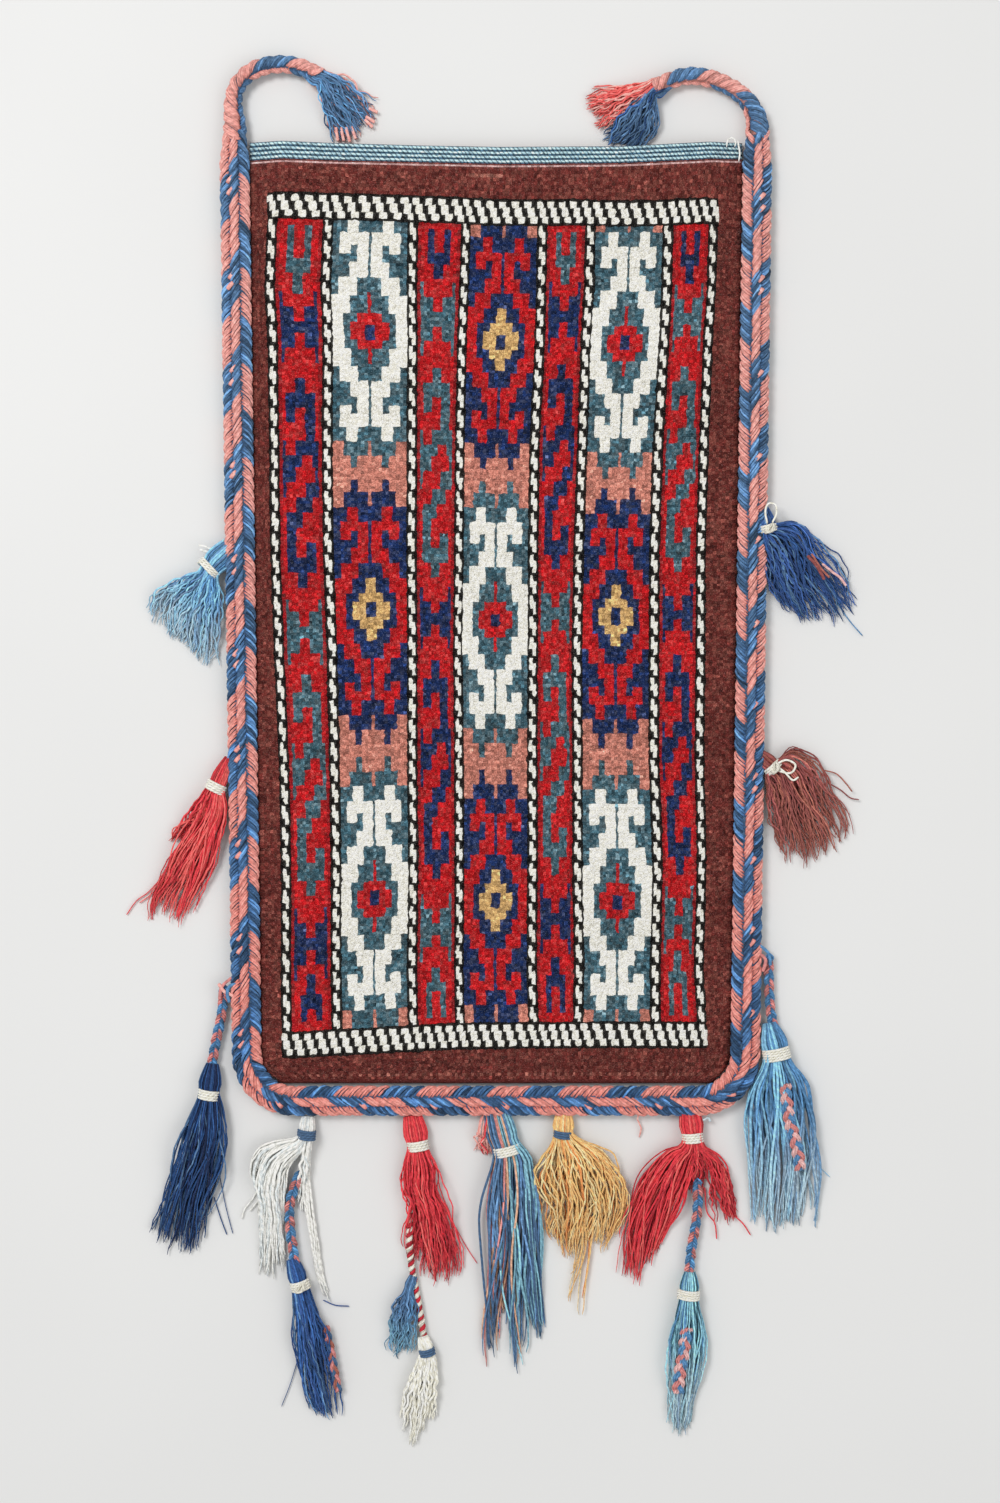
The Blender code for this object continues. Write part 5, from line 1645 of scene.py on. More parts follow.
@dataclass(frozen=True)
class Tassel:
    """A wool tassel: yarns gathered at a root, bound at the neck and spread into locks.

    Its lengths are millimetres.

    Attributes:
        root: Where it starts, in photograph pixels.
        neck: Middle of its binding, in photograph pixels.
        widths: Widths at the root, head and neck.
        yarn: Radius of a yarn.
        wave: How far the yarns wander.
        density: Yarns made for each one counted in a lock.
        under: Dye of its lowest yarns, where it differs.
        tips: Dye that its yarns fade to at their ends, where they do.
        spread: How much its yarns differ in shade.
        tuck: How far the root runs in under what it hangs from.
        crimp: Length of one crimp of a yarn.
        raised: Share of yarns that lie in the upper half for sure.
        short: Share of wisps that end early.
        free: Share of yarns that wander more than the rest, and how much more.
        tip_bend: How late the yarns turn towards their own spots on the tips' line.
    """

    name: str
    node: str
    slot: Slot
    root: tuple[float, float]
    neck: tuple[float, float]
    widths: tuple[float, float, float]
    locks: tuple[Lock, ...]
    dyes: Wool
    neck_height: float = 8.5
    yarn: float = 0.55
    wave: float = 1.35
    density: float = 2.0
    strays: tuple[Stray, ...] = ()
    remnants: tuple[Remnant, ...] = ()
    under: Dye | None = None
    tips: Dye | None = None
    spread: float = 0.22
    rings: int = 34
    tuck: float = 3.0
    tip_height: float = 3.6
    crimp: float = 9.0
    raised: float = 0.3
    short: float = 0.22
    free: tuple[float, float] = (0.08, 2.4)
    tip_bend: float = 2.2

    def neck_frame(self) -> tuple[Array, Array, Array]:
        """Root, neck and the direction from one to the other, in metres."""
        root, neck = on_bag(self.root + self.neck)
        ahead = (neck - root) / np.linalg.norm(neck - root)
        return root, neck, ahead

    def head(self, lock: Lock, q: Array, rings: int) -> Array:
        """Flat places of a lock's yarns between the root and the neck.

        A yarn runs straight from the root over the head's middle to the neck, at its own share q of each
        width.

        Args:
            lock: The lock.
            q: Each yarn's place across, from 0 to 1.
            rings: Points to give on each yarn.

        Returns:
            Rows of (x, y), (yarns, rings, 2).
        """
        root, neck, ahead = self.neck_frame()
        beside = np.array([ahead[1], -ahead[0]])
        if (on_bag(lock.left[:2])[0] - on_bag(lock.right[:2])[0]) @ beside > 0:
            beside = -beside
        sway = (lock.share[0] + (lock.share[1] - lock.share[0]) * q - 0.5)[:, None]
        keys = np.stack([root - ahead * self.tuck * MM + beside * (sway * self.widths[0] * MM),
                         root + (neck - root) * 0.55 + beside * (sway * self.widths[1] * 1.2 * MM),
                         neck + beside * (sway * (self.widths[2] - 1.5) * MM)], axis=1)
        share = np.linspace(0.0, 2.0, rings, endpoint=False)
        first = np.clip(share.astype(int), 0, 1)
        blend = (share - first)[None, :, None]
        return keys[:, first] * (1 - blend) + keys[:, first + 1] * blend

    def skirt(self, lock: Lock, q: Array, t: Array, rng: Rng) -> tuple[Array, Whole]:
        """Flat places of a lock's yarns below the neck.

        A yarn's place is (1 - q) left + q right. It draws towards its wisp on the way, drifts a little to
        either side, ends where its wisp does, and bends at the end towards its own spot on the tips' line.

        Args:
            lock: The lock.
            q: Each yarn's place across, from 0 to 1.
            t: Share of the way down at each point.
            rng: Source of the unevenness.

        Returns:
            (rows of (x, y), (yarns, points, 2), and the number of each yarn's wisp).
        """
        count = len(q)
        left, right = (curve_through(on_bag(side), len(t)) for side in (lock.left, lock.right))
        ends = resample(np.vstack([left[-1:], on_bag(lock.tips), right[-1:]]), TIP_SAMPLES)
        wisps = max(5, count // 6)
        wisp = np.clip((q * wisps + rng.normal(0.0, 0.7, count)).astype(int), 0, wisps - 1)
        wisp_q = np.clip((np.arange(wisps) + 0.5 + rng.normal(0.0, 0.3, wisps)) / wisps, 0.0, 1.0)
        short = rng.random(wisps) < self.short
        wisp_end = np.where(short, rng.uniform(0.74, 0.90, wisps), rng.uniform(0.91, 1.0, wisps))
        way = t * (wisp_end[wisp] * rng.uniform(0.90, 1.0, count))[:, None]
        own = q[:, None] + (wisp_q[wisp] - q)[:, None] * (0.82 * smooth_step((t - 0.3) / 0.7))
        drift = np.sin(rng.uniform(2.0, 7.0, (count, 1)) * t + rng.random((count, 1)) * TURN)
        own = np.clip(own + 0.07 * drift * smooth_step(t * 2.5), 0.0, 1.0)
        index = way * (len(t) - 1)
        low = np.clip(index.astype(int), 0, len(t) - 2)
        part = (index - low)[..., None]
        on_left, on_right = (side[low] * (1 - part) + side[low + 1] * part for side in (left, right))
        flat = on_left * (1 - own[..., None]) + on_right * own[..., None]
        last = own[:, -1]
        spots = np.linspace(0, 1, TIP_SAMPLES)
        tip = np.stack([np.interp(last, spots, ends[:, k]) for k in range(2)], axis=1)
        bend = tip - left[-1] - (right[-1] - left[-1]) * last[:, None]
        return flat + bend[:, None] * (way ** self.tip_bend)[..., None], wisp

    def yarn_lines(self, lock: Lock, rng: Rng) -> Array:
        """Centre lines of one lock's yarns.

        A yarn holds its place (across q, height b) in the bundle's section, and is b of the way up through
        the heap. It waves and crimps more the farther it is from the neck.

        Args:
            lock: The lock.
            rng: Source of the unevenness.

        Returns:
            Lines, (yarns, rings, 3).
        """
        count = round(lock.yarns * self.density)
        turn = rng.random(count) * TURN
        out = np.sqrt(rng.random(count))
        q, b = 0.5 + 0.5 * out * np.cos(turn), out * np.sin(turn)
        b = np.where(rng.random(count) < self.raised, np.abs(b), b)
        head_rings = self.rings // 5
        t = np.linspace(0.0, 1.0, self.rings - head_rings)
        skirt, wisp = self.skirt(lock, q, t, rng)
        flat = np.concatenate([self.head(lock, q, head_rings), skirt], axis=1)
        away = np.concatenate([np.zeros(head_rings), t])[None]
        run = away * float(reach_of(curve_through(on_bag(lock.left), len(t)))[-1])
        phase = rng.random((4, count, 1)) * TURN
        slow = 0.6 * np.sin(5.0 * away + phase[0]) + 0.5 * np.sin(6.0 * away + wisp[:, None] * 2.1)
        pace = rng.uniform(0.8, 1.2, (count, 1))
        crimp = np.sin(run * (TURN / (self.crimp * MM)) * pace + phase[1])
        square = np.gradient(flat, axis=1)
        square = np.stack([square[..., 1], -square[..., 0]], axis=-1)
        square /= np.linalg.norm(square, axis=-1, keepdims=True) + TINY
        free = np.where(rng.random((count, 1)) < self.free[0], self.free[1], 1.0)
        kink = crimp * rng.uniform(0.3, 1.0, (count, 1))
        flat += square * ((slow * self.wave * free + kink) * MM * np.minimum(1.0, away * 3.0))[..., None]
        heap = np.linspace(0.6, 1.0, head_rings) * self.neck_height
        heap = np.concatenate([heap, self.height_run(lock, t)]) - 2 * self.yarn
        lift = NECK_LIFT * np.concatenate([np.ones(head_rings), 1 - smooth_step(t * 5)])
        room = np.sqrt(np.clip(1 - (2 * q - 1) ** 2, 0.05, 1.0))[:, None]
        level = 0.5 + 0.5 * (b[:, None] / np.maximum(room, 0.3)).clip(-1, 1) * room
        level = level + 0.09 * np.sin(9.0 * away + phase[2]) + 0.06 * np.cos(2.2 * crimp + phase[3])
        z = (lift + self.yarn + np.clip(level, 0, 1) * heap) * MM
        lines = np.concatenate([flat, z[..., None]], axis=-1)
        lines[:, 1:-1] = 0.25 * lines[:, :-2] + 0.5 * lines[:, 1:-1] + 0.25 * lines[:, 2:]
        return lines

    def height_run(self, lock: Lock, t: Array) -> Array:
        """Height of a lock's heap along it: from the neck's to the lock's own, then down to thin tips."""
        full = self.neck_height + (lock.height - self.neck_height) * smooth_step(t * 4.0)
        return full + (self.tip_height - full) * smooth_step((t - 0.35) / 0.65)

    def yarn_dyes(self, lock: Lock, lines: Array, rng: Rng) -> Array:
        """Linear colours of a lock's yarns, one row each, drawn by how common each dye is."""
        choice = lock.dyes or self.dyes
        weights = np.array([share for _, share in choice])
        palette = linear_of([dye for dye, _ in choice])
        chosen = palette[rng.choice(len(palette), len(lines), p=weights / weights.sum())]
        if self.under:
            height = lines[:, -8:, 2].mean(axis=1)
            chosen[height < np.quantile(height, 0.3)] = self.under.linear()
        return uneven(chosen, rng, self.spread)

    def build(self, seed: int) -> Piece:
        """Builds the tassel's yarns as one piece, with painted shade and light by height: darker low in the
        heap, paler on top; and faded towards the tips.

        Args:
            seed: Number that its unevenness starts from.

        Returns:
            The piece.
        """
        rng = np.random.default_rng(seed)
        found, drawn = [], []
        for lock in self.locks:
            found.append(self.yarn_lines(lock, rng))
            drawn.append(self.yarn_dyes(lock, found[-1], rng))
        lines, dyes = np.concatenate(found), np.concatenate(drawn)[:, None]
        # Painted shade and light: yarns low in the heap darker, those on top paler.
        dyes = held_in(dyes * (0.84 + 0.32 * (lines[..., 2:] / float(lines[..., 2].max()))))
        t = np.linspace(0.0, 1.0, self.rings)
        if self.tips:
            share = 0.8 * smooth_step((t - 0.4) / 0.5)[:, None] * rng.uniform(0.2, 1.0, (len(lines), 1, 1))
            dyes = dyes * (1.0 - share) + self.tips.linear() * share
        thin = 1.0 - 0.4 * smooth_step((t - 0.7) / 0.3)
        radius = self.yarn * MM * rng.uniform(0.75, 1.2, (len(lines), 1)) * thin
        apart = [curve_through(lifted(stray.route, stray.height, stray.height), self.rings)[None]
                 for stray in self.strays]
        apart += [remnant.lines(self.rings) for remnant in self.remnants]
        if apart:
            ends = [dye for remnant in self.remnants for dye in remnant.yarn_dyes()]
            thick = [stray.radius for stray in self.strays]
            thick += [remnant.yarn * remnant.size for remnant in self.remnants for _ in remnant.yarn_dyes()]
            tint = linear_of([stray.dye for stray in self.strays] + ends)[:, None]
            lines = np.concatenate([lines, *apart])
            radius = np.concatenate([radius, np.repeat(np.array(thick)[:, None] * MM, self.rings, axis=1)])
            dyes = np.concatenate([dyes, np.repeat(tint, self.rings, axis=1)])
        return yarn_tubes(lines, radius, dyes).place(self.name, self.node, self.slot, YARN_FINISH)


@dataclass(frozen=True)
class Binding:
    """Yarn wound round a tassel's neck: a helix on an ellipse, with an optional knot on top.

    Attributes:
        tassel: The tassel whose neck it goes round.
        yarn: Radius of its yarn, in millimetres.
        pitch: Step from one turn to the next, as a share of the yarn's radius.
        ease: Room between the yarn's middle and the neck, as a share of the yarn's radius.
        knot_size: How far the knot reaches across, along and up, in millimetres.
        samples: Points on one turn.
    """

    name: str
    node: str
    slot: Slot
    tassel: Tassel
    dye: Dye
    turns: float = 4.0
    knot: bool = False
    yarn: float = 0.72
    pitch: float = 1.9
    ease: float = 0.9
    knot_size: tuple[float, float, float] = (2.6, 1.9, 0.9)
    knot_lift: float = 0.6
    samples: int = 26
    seed: int = 3

    def build(self) -> Piece:
        """Builds the binding, with its knot where it has one."""
        _, neck, ahead = self.tassel.neck_frame()
        beside = np.array([ahead[1], -ahead[0]])
        samples = round(self.turns * self.samples)
        angle = np.linspace(0.0, TURN * self.turns, samples)
        step = (angle / TURN - self.turns / 2) * self.pitch * self.yarn * MM
        half_width = (self.tassel.widths[2] / 2 + self.yarn * self.ease) * MM
        half_height = (self.tassel.neck_height / 2 + self.yarn * self.ease) * MM
        middle = (NECK_LIFT + self.tassel.neck_height / 2) * MM
        flat = neck + ahead * step[:, None] + beside * (half_width * np.cos(angle))[:, None]
        lines = [np.column_stack([flat, middle + half_height * np.sin(angle)])]
        if self.knot:
            spin = np.linspace(0.0, TURN * 1.8, samples)[:, None]
            wide, long, tall = np.array(self.knot_size) * MM
            loop = neck + beside * (wide * np.cos(spin)) + ahead * (long * np.sin(spin * 1.3))
            rise = middle + half_height + self.knot_lift * MM + tall * np.sin(spin * 0.7)
            lines.append(np.column_stack([loop, rise]))
        rng = np.random.default_rng(self.seed)
        dyes = self.dye.linear() * rng.normal(1.0, 0.04, (len(lines), 1))
        mesh = yarn_tubes(np.array(lines), np.array(self.yarn * MM), dyes, sides=7)
        return mesh.place(self.name, self.node, self.slot, BINDING_FINISH)


BLUE_WOOL = wool(SKY=4, SKY_DARK=4, SLATE=1)
CORAL_WOOL = wool(CORAL=5, CORAL_DARK=2, CORAL_LIGHT=1.6)

TASSELS = (
    Tassel("sky_tassel_left", "tassel_left_upper", Slot.SKY, (229, 547), (208, 568), (11, 13, 11.5),
        (Lock((199, 570, 178, 577, 154, 589, 145, 615), (217, 577, 220, 600, 219, 635, 216, 672),
            (148, 621, 166, 639, 189, 655, 198, 668), 80),), BLUE_WOOL, tips=Dye.SKY_TIP, wave=1.0,
        strays=(Stray((212, 552, 205, 551, 199, 549), Dye.WOOL_WHITE, 0.8, 6.0),
                Stray((211, 549, 204, 546, 198, 545), Dye.WOOL_WHITE, 0.7, 6.5))),
    Tassel("coral_tassel_left", "tassel_left_middle", Slot.CORAL, (226, 763), (215, 788), (5, 8.5, 9),
        (Lock((202, 791, 187, 812, 173, 832, 166, 846), (214, 795, 206, 820, 196, 843), (176, 842), 18, 9.5,
            (0.0, 0.5)),
         Lock((206, 792, 190, 825, 167, 860, 155, 888, 145, 905, 143, 932),
            (225, 796, 229, 811, 226, 829, 217, 860, 206, 882, 191, 915),
            (152, 912, 163, 926, 175, 931, 186, 912), 48)), wool(CORAL=4, CORAL_LIGHT=4, CORAL_DARK=1),
        strays=(Stray((158, 880, 146, 893, 134, 902, 124, 916), Dye.CORAL),
                Stray((160, 884, 148, 896, 137, 904), Dye.CORAL_LIGHT))),
    Tassel("ink_tassel_left", "tassel_left_lower", Slot.INK, (211, 1070), (208, 1096), (7, 11.5, 9.5),
        (Lock((196, 1101, 179, 1142, 163, 1190, 147, 1245),
            (222, 1101, 226, 1135, 224, 1168, 211, 1207, 202, 1255), (160, 1258, 175, 1262, 190, 1260),
            58),), wool(INK=5, INK_DARK=2.5, SLATE=0.9), wave=1.7,
        strays=(Stray((218, 1180, 224, 1210, 231, 1237), Dye.INK, 0.3),
                Stray((212, 1200, 219, 1222, 225, 1238), Dye.INK),
                Stray((236, 976, 229, 980, 221, 988, 219, 1000), Dye.FADED_PINK, 1.2, 6.5),
                Stray((237, 984, 230, 986, 227, 993, 229, 1003), Dye.SKY_DARK, 1.2, 7.5),
                Stray((218, 984, 224, 992, 232, 996, 238, 1004), Dye.SALMON, 1.2, 7.0))),
    Tassel("deep_blue_tassel_right", "tassel_right_upper", Slot.DEEP_BLUE, (764, 510), (769, 529),
        (5, 8, 8.5),
        (Lock((761, 540, 766, 566, 775, 592, 800, 618),
            (778, 523, 793, 520, 806, 525, 822, 547, 847, 577, 860, 608), (812, 626, 839, 632, 852, 626),
            60),), wool(DEEP_INK=4, INK=2.5, PLAIT_BLUE=1.4), wave=2.0,
        strays=(Stray((838, 600, 852, 620, 865, 635), Dye.SKY_DARK, 0.4),
                Stray((807, 556, 816, 566, 824, 580), Dye.BROWN, 1.1, 10.5),
                Stray((811, 554, 820, 568, 829, 578), Dye.MAROON_LIGHT, 0.8, 10.5),
                Stray((822, 564, 832, 572, 840, 578, 846, 586), Dye.PALE_PINK, 0.9, 9.5),
                Stray((767, 524, 765, 512, 768, 504, 775, 505, 776, 514, 772, 523), Dye.CREAM, 0.7, 10.0))),
    Tassel("brown_tassel_right", "tassel_right_middle", Slot.BROWN, (762, 756), (774, 768), (5, 8.5, 8.5),
        (Lock((766, 779, 768, 795, 771, 815, 780, 852),
            (782, 757, 795, 748, 811, 755, 824, 769, 832, 791, 848, 815, 854, 838),
            (783, 863, 805, 876, 818, 870, 834, 863, 848, 848), 64),),
        wool(BROWN=5, MAROON_LIGHT=2, MAROON=1), wave=1.9, tips=Dye.MAROON_LIGHT,
        strays=(Stray((824, 770, 838, 774, 848, 784, 854, 792), Dye.MAROON_LIGHT, 0.5, 3.0),
                Stray((828, 782, 842, 790, 852, 798, 861, 800), Dye.BROWN, 0.5, 2.5),
                Stray((776, 764, 786, 760, 795, 765, 790, 773, 778, 771), Dye.CREAM, 0.75, 10.6),
                Stray((776, 766, 784, 772, 792, 780, 798, 777), Dye.CREAM, 0.7, 10.9))),
    Tassel("sky_tassel_right", "tassel_right_lower", Slot.SKY, (771, 1029), (777, 1055), (7, 13, 13),
        (Lock((764, 1065, 749, 1096, 749, 1144, 754, 1230),
            (791, 1062, 809, 1084, 819, 1128, 821, 1167, 818, 1232), (772, 1244, 793, 1233), 74),),
        BLUE_WOOL, neck_height=10, yarn=0.82, density=1.05, wave=1.9, tips=Dye.SKY_TIP,
        strays=(Stray((805, 1140, 818, 1165, 832, 1180), Dye.SKY, 0.3),
                Stray((752, 944, 760, 946, 769, 954, 771, 966), Dye.SKY_DARK, 1.2, 6.5),
                Stray((752, 956, 761, 955, 766, 961, 763, 972), Dye.FADED_PINK, 1.2, 7.5)),
        remnants=(Remnant((785, 1084, 789, 1118, 797, 1148, 800, 1170)),)),
    Tassel("pale_tassel_foot", "tassel_foot_1", Slot.PALE, (307, 1123), (306, 1136), (6.5, 7.5, 8),
        (Lock((297, 1138, 272, 1143, 257, 1152, 250, 1173, 258, 1192, 257, 1240),
            (304, 1150, 288, 1168, 284, 1185, 281, 1202, 283, 1255), (260, 1285, 276, 1289, 284, 1285), 50,
            11.0, (0.0, 0.62)),
         Lock((308, 1146, 303, 1175, 304, 1200, 308, 1235, 312, 1270, 320, 1302),
            (312, 1142, 309, 1175, 310, 1200, 314, 1235, 319, 1270, 329, 1308), (332, 1318), 8, 5.0,
            (0.8, 1.0)),
         Lock((302, 1146, 299, 1170, 295, 1200), (310, 1146, 307, 1170, 303, 1205), (301, 1217), 8, 8.5,
            (0.4, 0.9))), wool(WOOL_WHITE=5, WOOL_GREY=2), yarn=0.8, wave=0.9, density=1.7, spread=0.08,
        strays=(Stray((258, 1186, 252, 1200, 243, 1212, 240, 1222), Dye.WOOL_WHITE, 0.6),
                Stray((262, 1192, 256, 1204, 248, 1214), Dye.WOOL_WHITE, 0.6))),
    Tassel("ink_tassel_foot_low", "tassel_foot_1_low", Slot.DEEP_BLUE, (293, 1266), (300, 1287),
        (6.5, 9.5, 8.5),
        (Lock((292, 1300, 295, 1347, 304, 1398, 316, 1423), (314, 1300, 328, 1336, 337, 1369, 345, 1419),
            (328, 1430), 40, 9.5),), wool(DEEP_INK=2.5, INK=5, PLAIT_BLUE=0.4), wave=1.7,
        strays=(Stray((300, 1350, 290, 1385, 280, 1411), Dye.INK, 0.3),
                Stray((322, 1304, 334, 1309, 348, 1310), Dye.DEEP_INK)),
        remnants=(Remnant((325, 1328, 330, 1350, 334, 1372, 338, 1394), 4.6, 0.62,
                           (Dye.MAROON_LIGHT, Dye.SLATE, Dye.FADED_PINK)),)),
    Tassel("red_tassel_foot", "tassel_foot_2", Slot.CORAL, (413, 1122), (418, 1147), (10, 12, 9.5),
        (Lock((407, 1152, 402, 1170, 404, 1190, 409, 1205, 404, 1240, 403, 1264),
            (429, 1152, 439, 1172, 438, 1192, 446, 1212, 461, 1256, 463, 1287),
            (427, 1289, 443, 1296, 457, 1299), 62),), CORAL_WOOL, wave=1.9,
        strays=(Stray((455, 1230, 466, 1250, 477, 1267), Dye.CORAL, 0.3),)),
    Tassel("small_blue_tassel", "tassel_foot_2_small", Slot.SKY, (411, 1283), (408, 1291), (4, 5.5, 5),
        (Lock((402, 1294, 390, 1312, 386, 1340, 386, 1358), (413, 1296, 416, 1310, 416, 1340, 415, 1360),
            (392, 1365, 405, 1360), 26, 8.0),), wool(SKY_DARK=2, PLAIT_BLUE=2, SLATE=3), neck_height=5.5,
        tips=Dye.TEAL_BLUE, spread=0.16),
    Tassel("pale_tassel_foot_low", "tassel_foot_2_low", Slot.PALE, (424, 1344), (427, 1354), (5, 6.5, 6.5),
        (Lock((418, 1360, 406, 1390, 401, 1412, 400, 1431), (436, 1360, 438, 1388, 438, 1405, 434, 1428),
            (409, 1462, 420, 1440), 36, 8.5),), wool(CREAM=5, WOOL_WHITE=2), neck_height=6.5,
        yarn=0.75, wave=0.7, spread=0.08, density=1.8),
    Tassel("blue_tassel_foot", "tassel_foot_3", Slot.SKY, (498, 1118), (507, 1151), (14, 15, 13),
        (Lock((494, 1157, 484, 1200, 484, 1253, 482, 1335, 488, 1368),
            (508, 1156, 510, 1200, 508, 1253, 503, 1310, 505, 1360), (497, 1393), 32, 10.5, (0.0, 0.5),
            wool(SLATE=2.5, PLAIT_BLUE=3, FADED_PINK=1.6, TAN=1.6)),
         Lock((503, 1157, 500, 1200, 506, 1260, 508, 1320, 512, 1352),
            (520, 1155, 524, 1200, 526, 1260, 527, 1320, 524, 1360), (518, 1380), 26, 11.5, (0.3, 0.8),
            wool(PLAIT_BLUE=3, TAN=1, TEAL_BLUE=2.6, SLATE=1.6)),
         Lock((516, 1156, 520, 1200, 526, 1260, 529, 1310, 530, 1340),
            (533, 1153, 536, 1172, 541, 1204, 541, 1294, 549, 1346), (543, 1352), 26, 10.5, (0.6, 1.0),
            wool(TEAL_BLUE=3.4, PLAIT_BLUE=2, SLATE=2.2))), wool(PLAIT_BLUE=1),
        neck_height=10, yarn=0.78, wave=2.6, density=1.15),
    Tassel("salmon_tuft_foot", "tuft_foot_3", Slot.PLAIT, (486, 1120), (484, 1130), (4, 6, 6.5),
        (Lock((478, 1133, 476, 1145, 477, 1157), (490, 1133, 491, 1145, 489, 1158), (), 16, 7.0),),
        wool(SALMON=5, CORAL=1), neck_height=6.5, rings=20),
    Tassel("ochre_tassel_foot", "tassel_foot_4", Slot.OCHRE, (564, 1119), (563, 1136), (8, 10.5, 8),
        (Lock((552, 1143, 541, 1165, 536, 1184, 543, 1204, 544, 1226, 551, 1243),
            (580, 1140, 604, 1153, 622, 1176, 627, 1204, 621, 1226, 614, 1246),
            (572, 1266, 580, 1246, 604, 1260), 76, 13.0),
         Lock((562, 1150, 568, 1200, 576, 1250, 560, 1320), (578, 1150, 592, 1200, 590, 1250, 594, 1326),
            (574, 1326, 586, 1322), 4, 5.0, (0.3, 0.7))), wool(OCHRE=5, OCHRE_PALE=3, AMBER=1),
        neck_height=8.0, wave=2.4, spread=0.14,
        strays=(Stray((552, 1150, 540, 1166, 534, 1186, 529, 1206), Dye.OCHRE_PALE, 0.5, 3.0),
                Stray((550, 1154, 542, 1176, 537, 1200), Dye.OCHRE, 0.5, 3.0))),
    Tassel("coral_tassel_foot", "tassel_foot_5", Slot.CORAL, (690, 1114), (693, 1139), (10, 12.5, 9.5),
        (Lock((682, 1147, 662, 1152, 635, 1184, 621, 1231, 617, 1284),
            (697, 1152, 692, 1180, 683, 1206, 671, 1229, 657, 1254), (635, 1293, 646, 1278), 50, 12.0,
            (0.0, 0.7)),
         Lock((697, 1150, 706, 1172, 712, 1200, 719, 1234), (704, 1146, 722, 1162, 734, 1190, 741, 1226),
            (730, 1234), 24, 10.0, (0.55, 1.0)),
         Lock((687, 1148, 689, 1168, 688, 1190), (702, 1148, 706, 1170, 706, 1194), (697, 1202), 16, 9.0,
            (0.2, 0.8))), CORAL_WOOL, wave=1.8,
        strays=(Stray((706, 1190, 708, 1214, 716, 1226, 718, 1242), Dye.CORAL, 0.5, 2.0),
                Stray((722, 1190, 730, 1212, 744, 1226, 752, 1238), Dye.CORAL, 0.5, 2.0),
                Stray((698, 1118, 704, 1121, 709, 1119, 711, 1123), Dye.SKY_TIP, 0.8, 5.0))),
    Tassel("teal_tassel_foot_low", "tassel_foot_5_low", Slot.TEAL, (690, 1279), (689, 1296),
        (6.5, 10.5, 10),
        (Lock((677, 1304, 667, 1349, 670, 1398, 673, 1437), (700, 1304, 707, 1338, 701, 1385, 688, 1442),
            (680, 1444), 46, 9.5),), wool(TEAL_BLUE=5, SKY_DARK=1.5, TEAL=1.5),
        neck_height=9, wave=1.7, tips=Dye.SKY_TIP,
        remnants=(Remnant((687, 1328, 684, 1352, 680, 1374, 678, 1394), 7.5),)),
    Tassel("left_tie_tuft", "tie_left_tuft", Slot.PLAIT, (313, 72), (321, 78), (9, 10, 11),
        (Lock((316, 84, 322, 110, 330, 128, 331, 140), (328, 70, 345, 76, 362, 88, 378, 102),
            (345, 143, 358, 140, 372, 126), 54, 9.0),), wool(PLAIT_BLUE=4, SKY_DARK=2, SLATE=3),
        neck_height=8.0, under=Dye.SALMON,
        strays=tuple(Stray((x - dx, y - dy, x, y), Dye.SALMON, 1.1, 2.6) for x, y, dx, dy in (
            (337, 138, 2, 14), (343, 138, 3, 14), (349, 139, 4, 15), (355, 136, 5, 14), (374, 119, 9, 6),
            (377, 109, 9, 4), (372, 124, 8, 8)))),
    Tassel("right_tie_tuft", "tie_right_tuft", Slot.PLAIT, (660, 84), (653, 88), (9, 10, 11),
        (Lock((646, 80, 625, 82, 604, 82, 590, 84), (644, 98, 632, 108, 618, 118, 606, 128),
            (582, 98, 584, 112, 594, 126), 40, 8.0, (0.0, 0.5), wool(CORAL_LIGHT=4, SALMON=3)),
         Lock((643, 92, 628, 104, 612, 124, 598, 134), (658, 94, 658, 112, 654, 132, 640, 150),
            (604, 142, 618, 148, 630, 152), 44, 9.0, (0.3, 1.0))), wool(PLAIT_BLUE=2, SLATE=4, INK=2),
        neck_height=8.0))


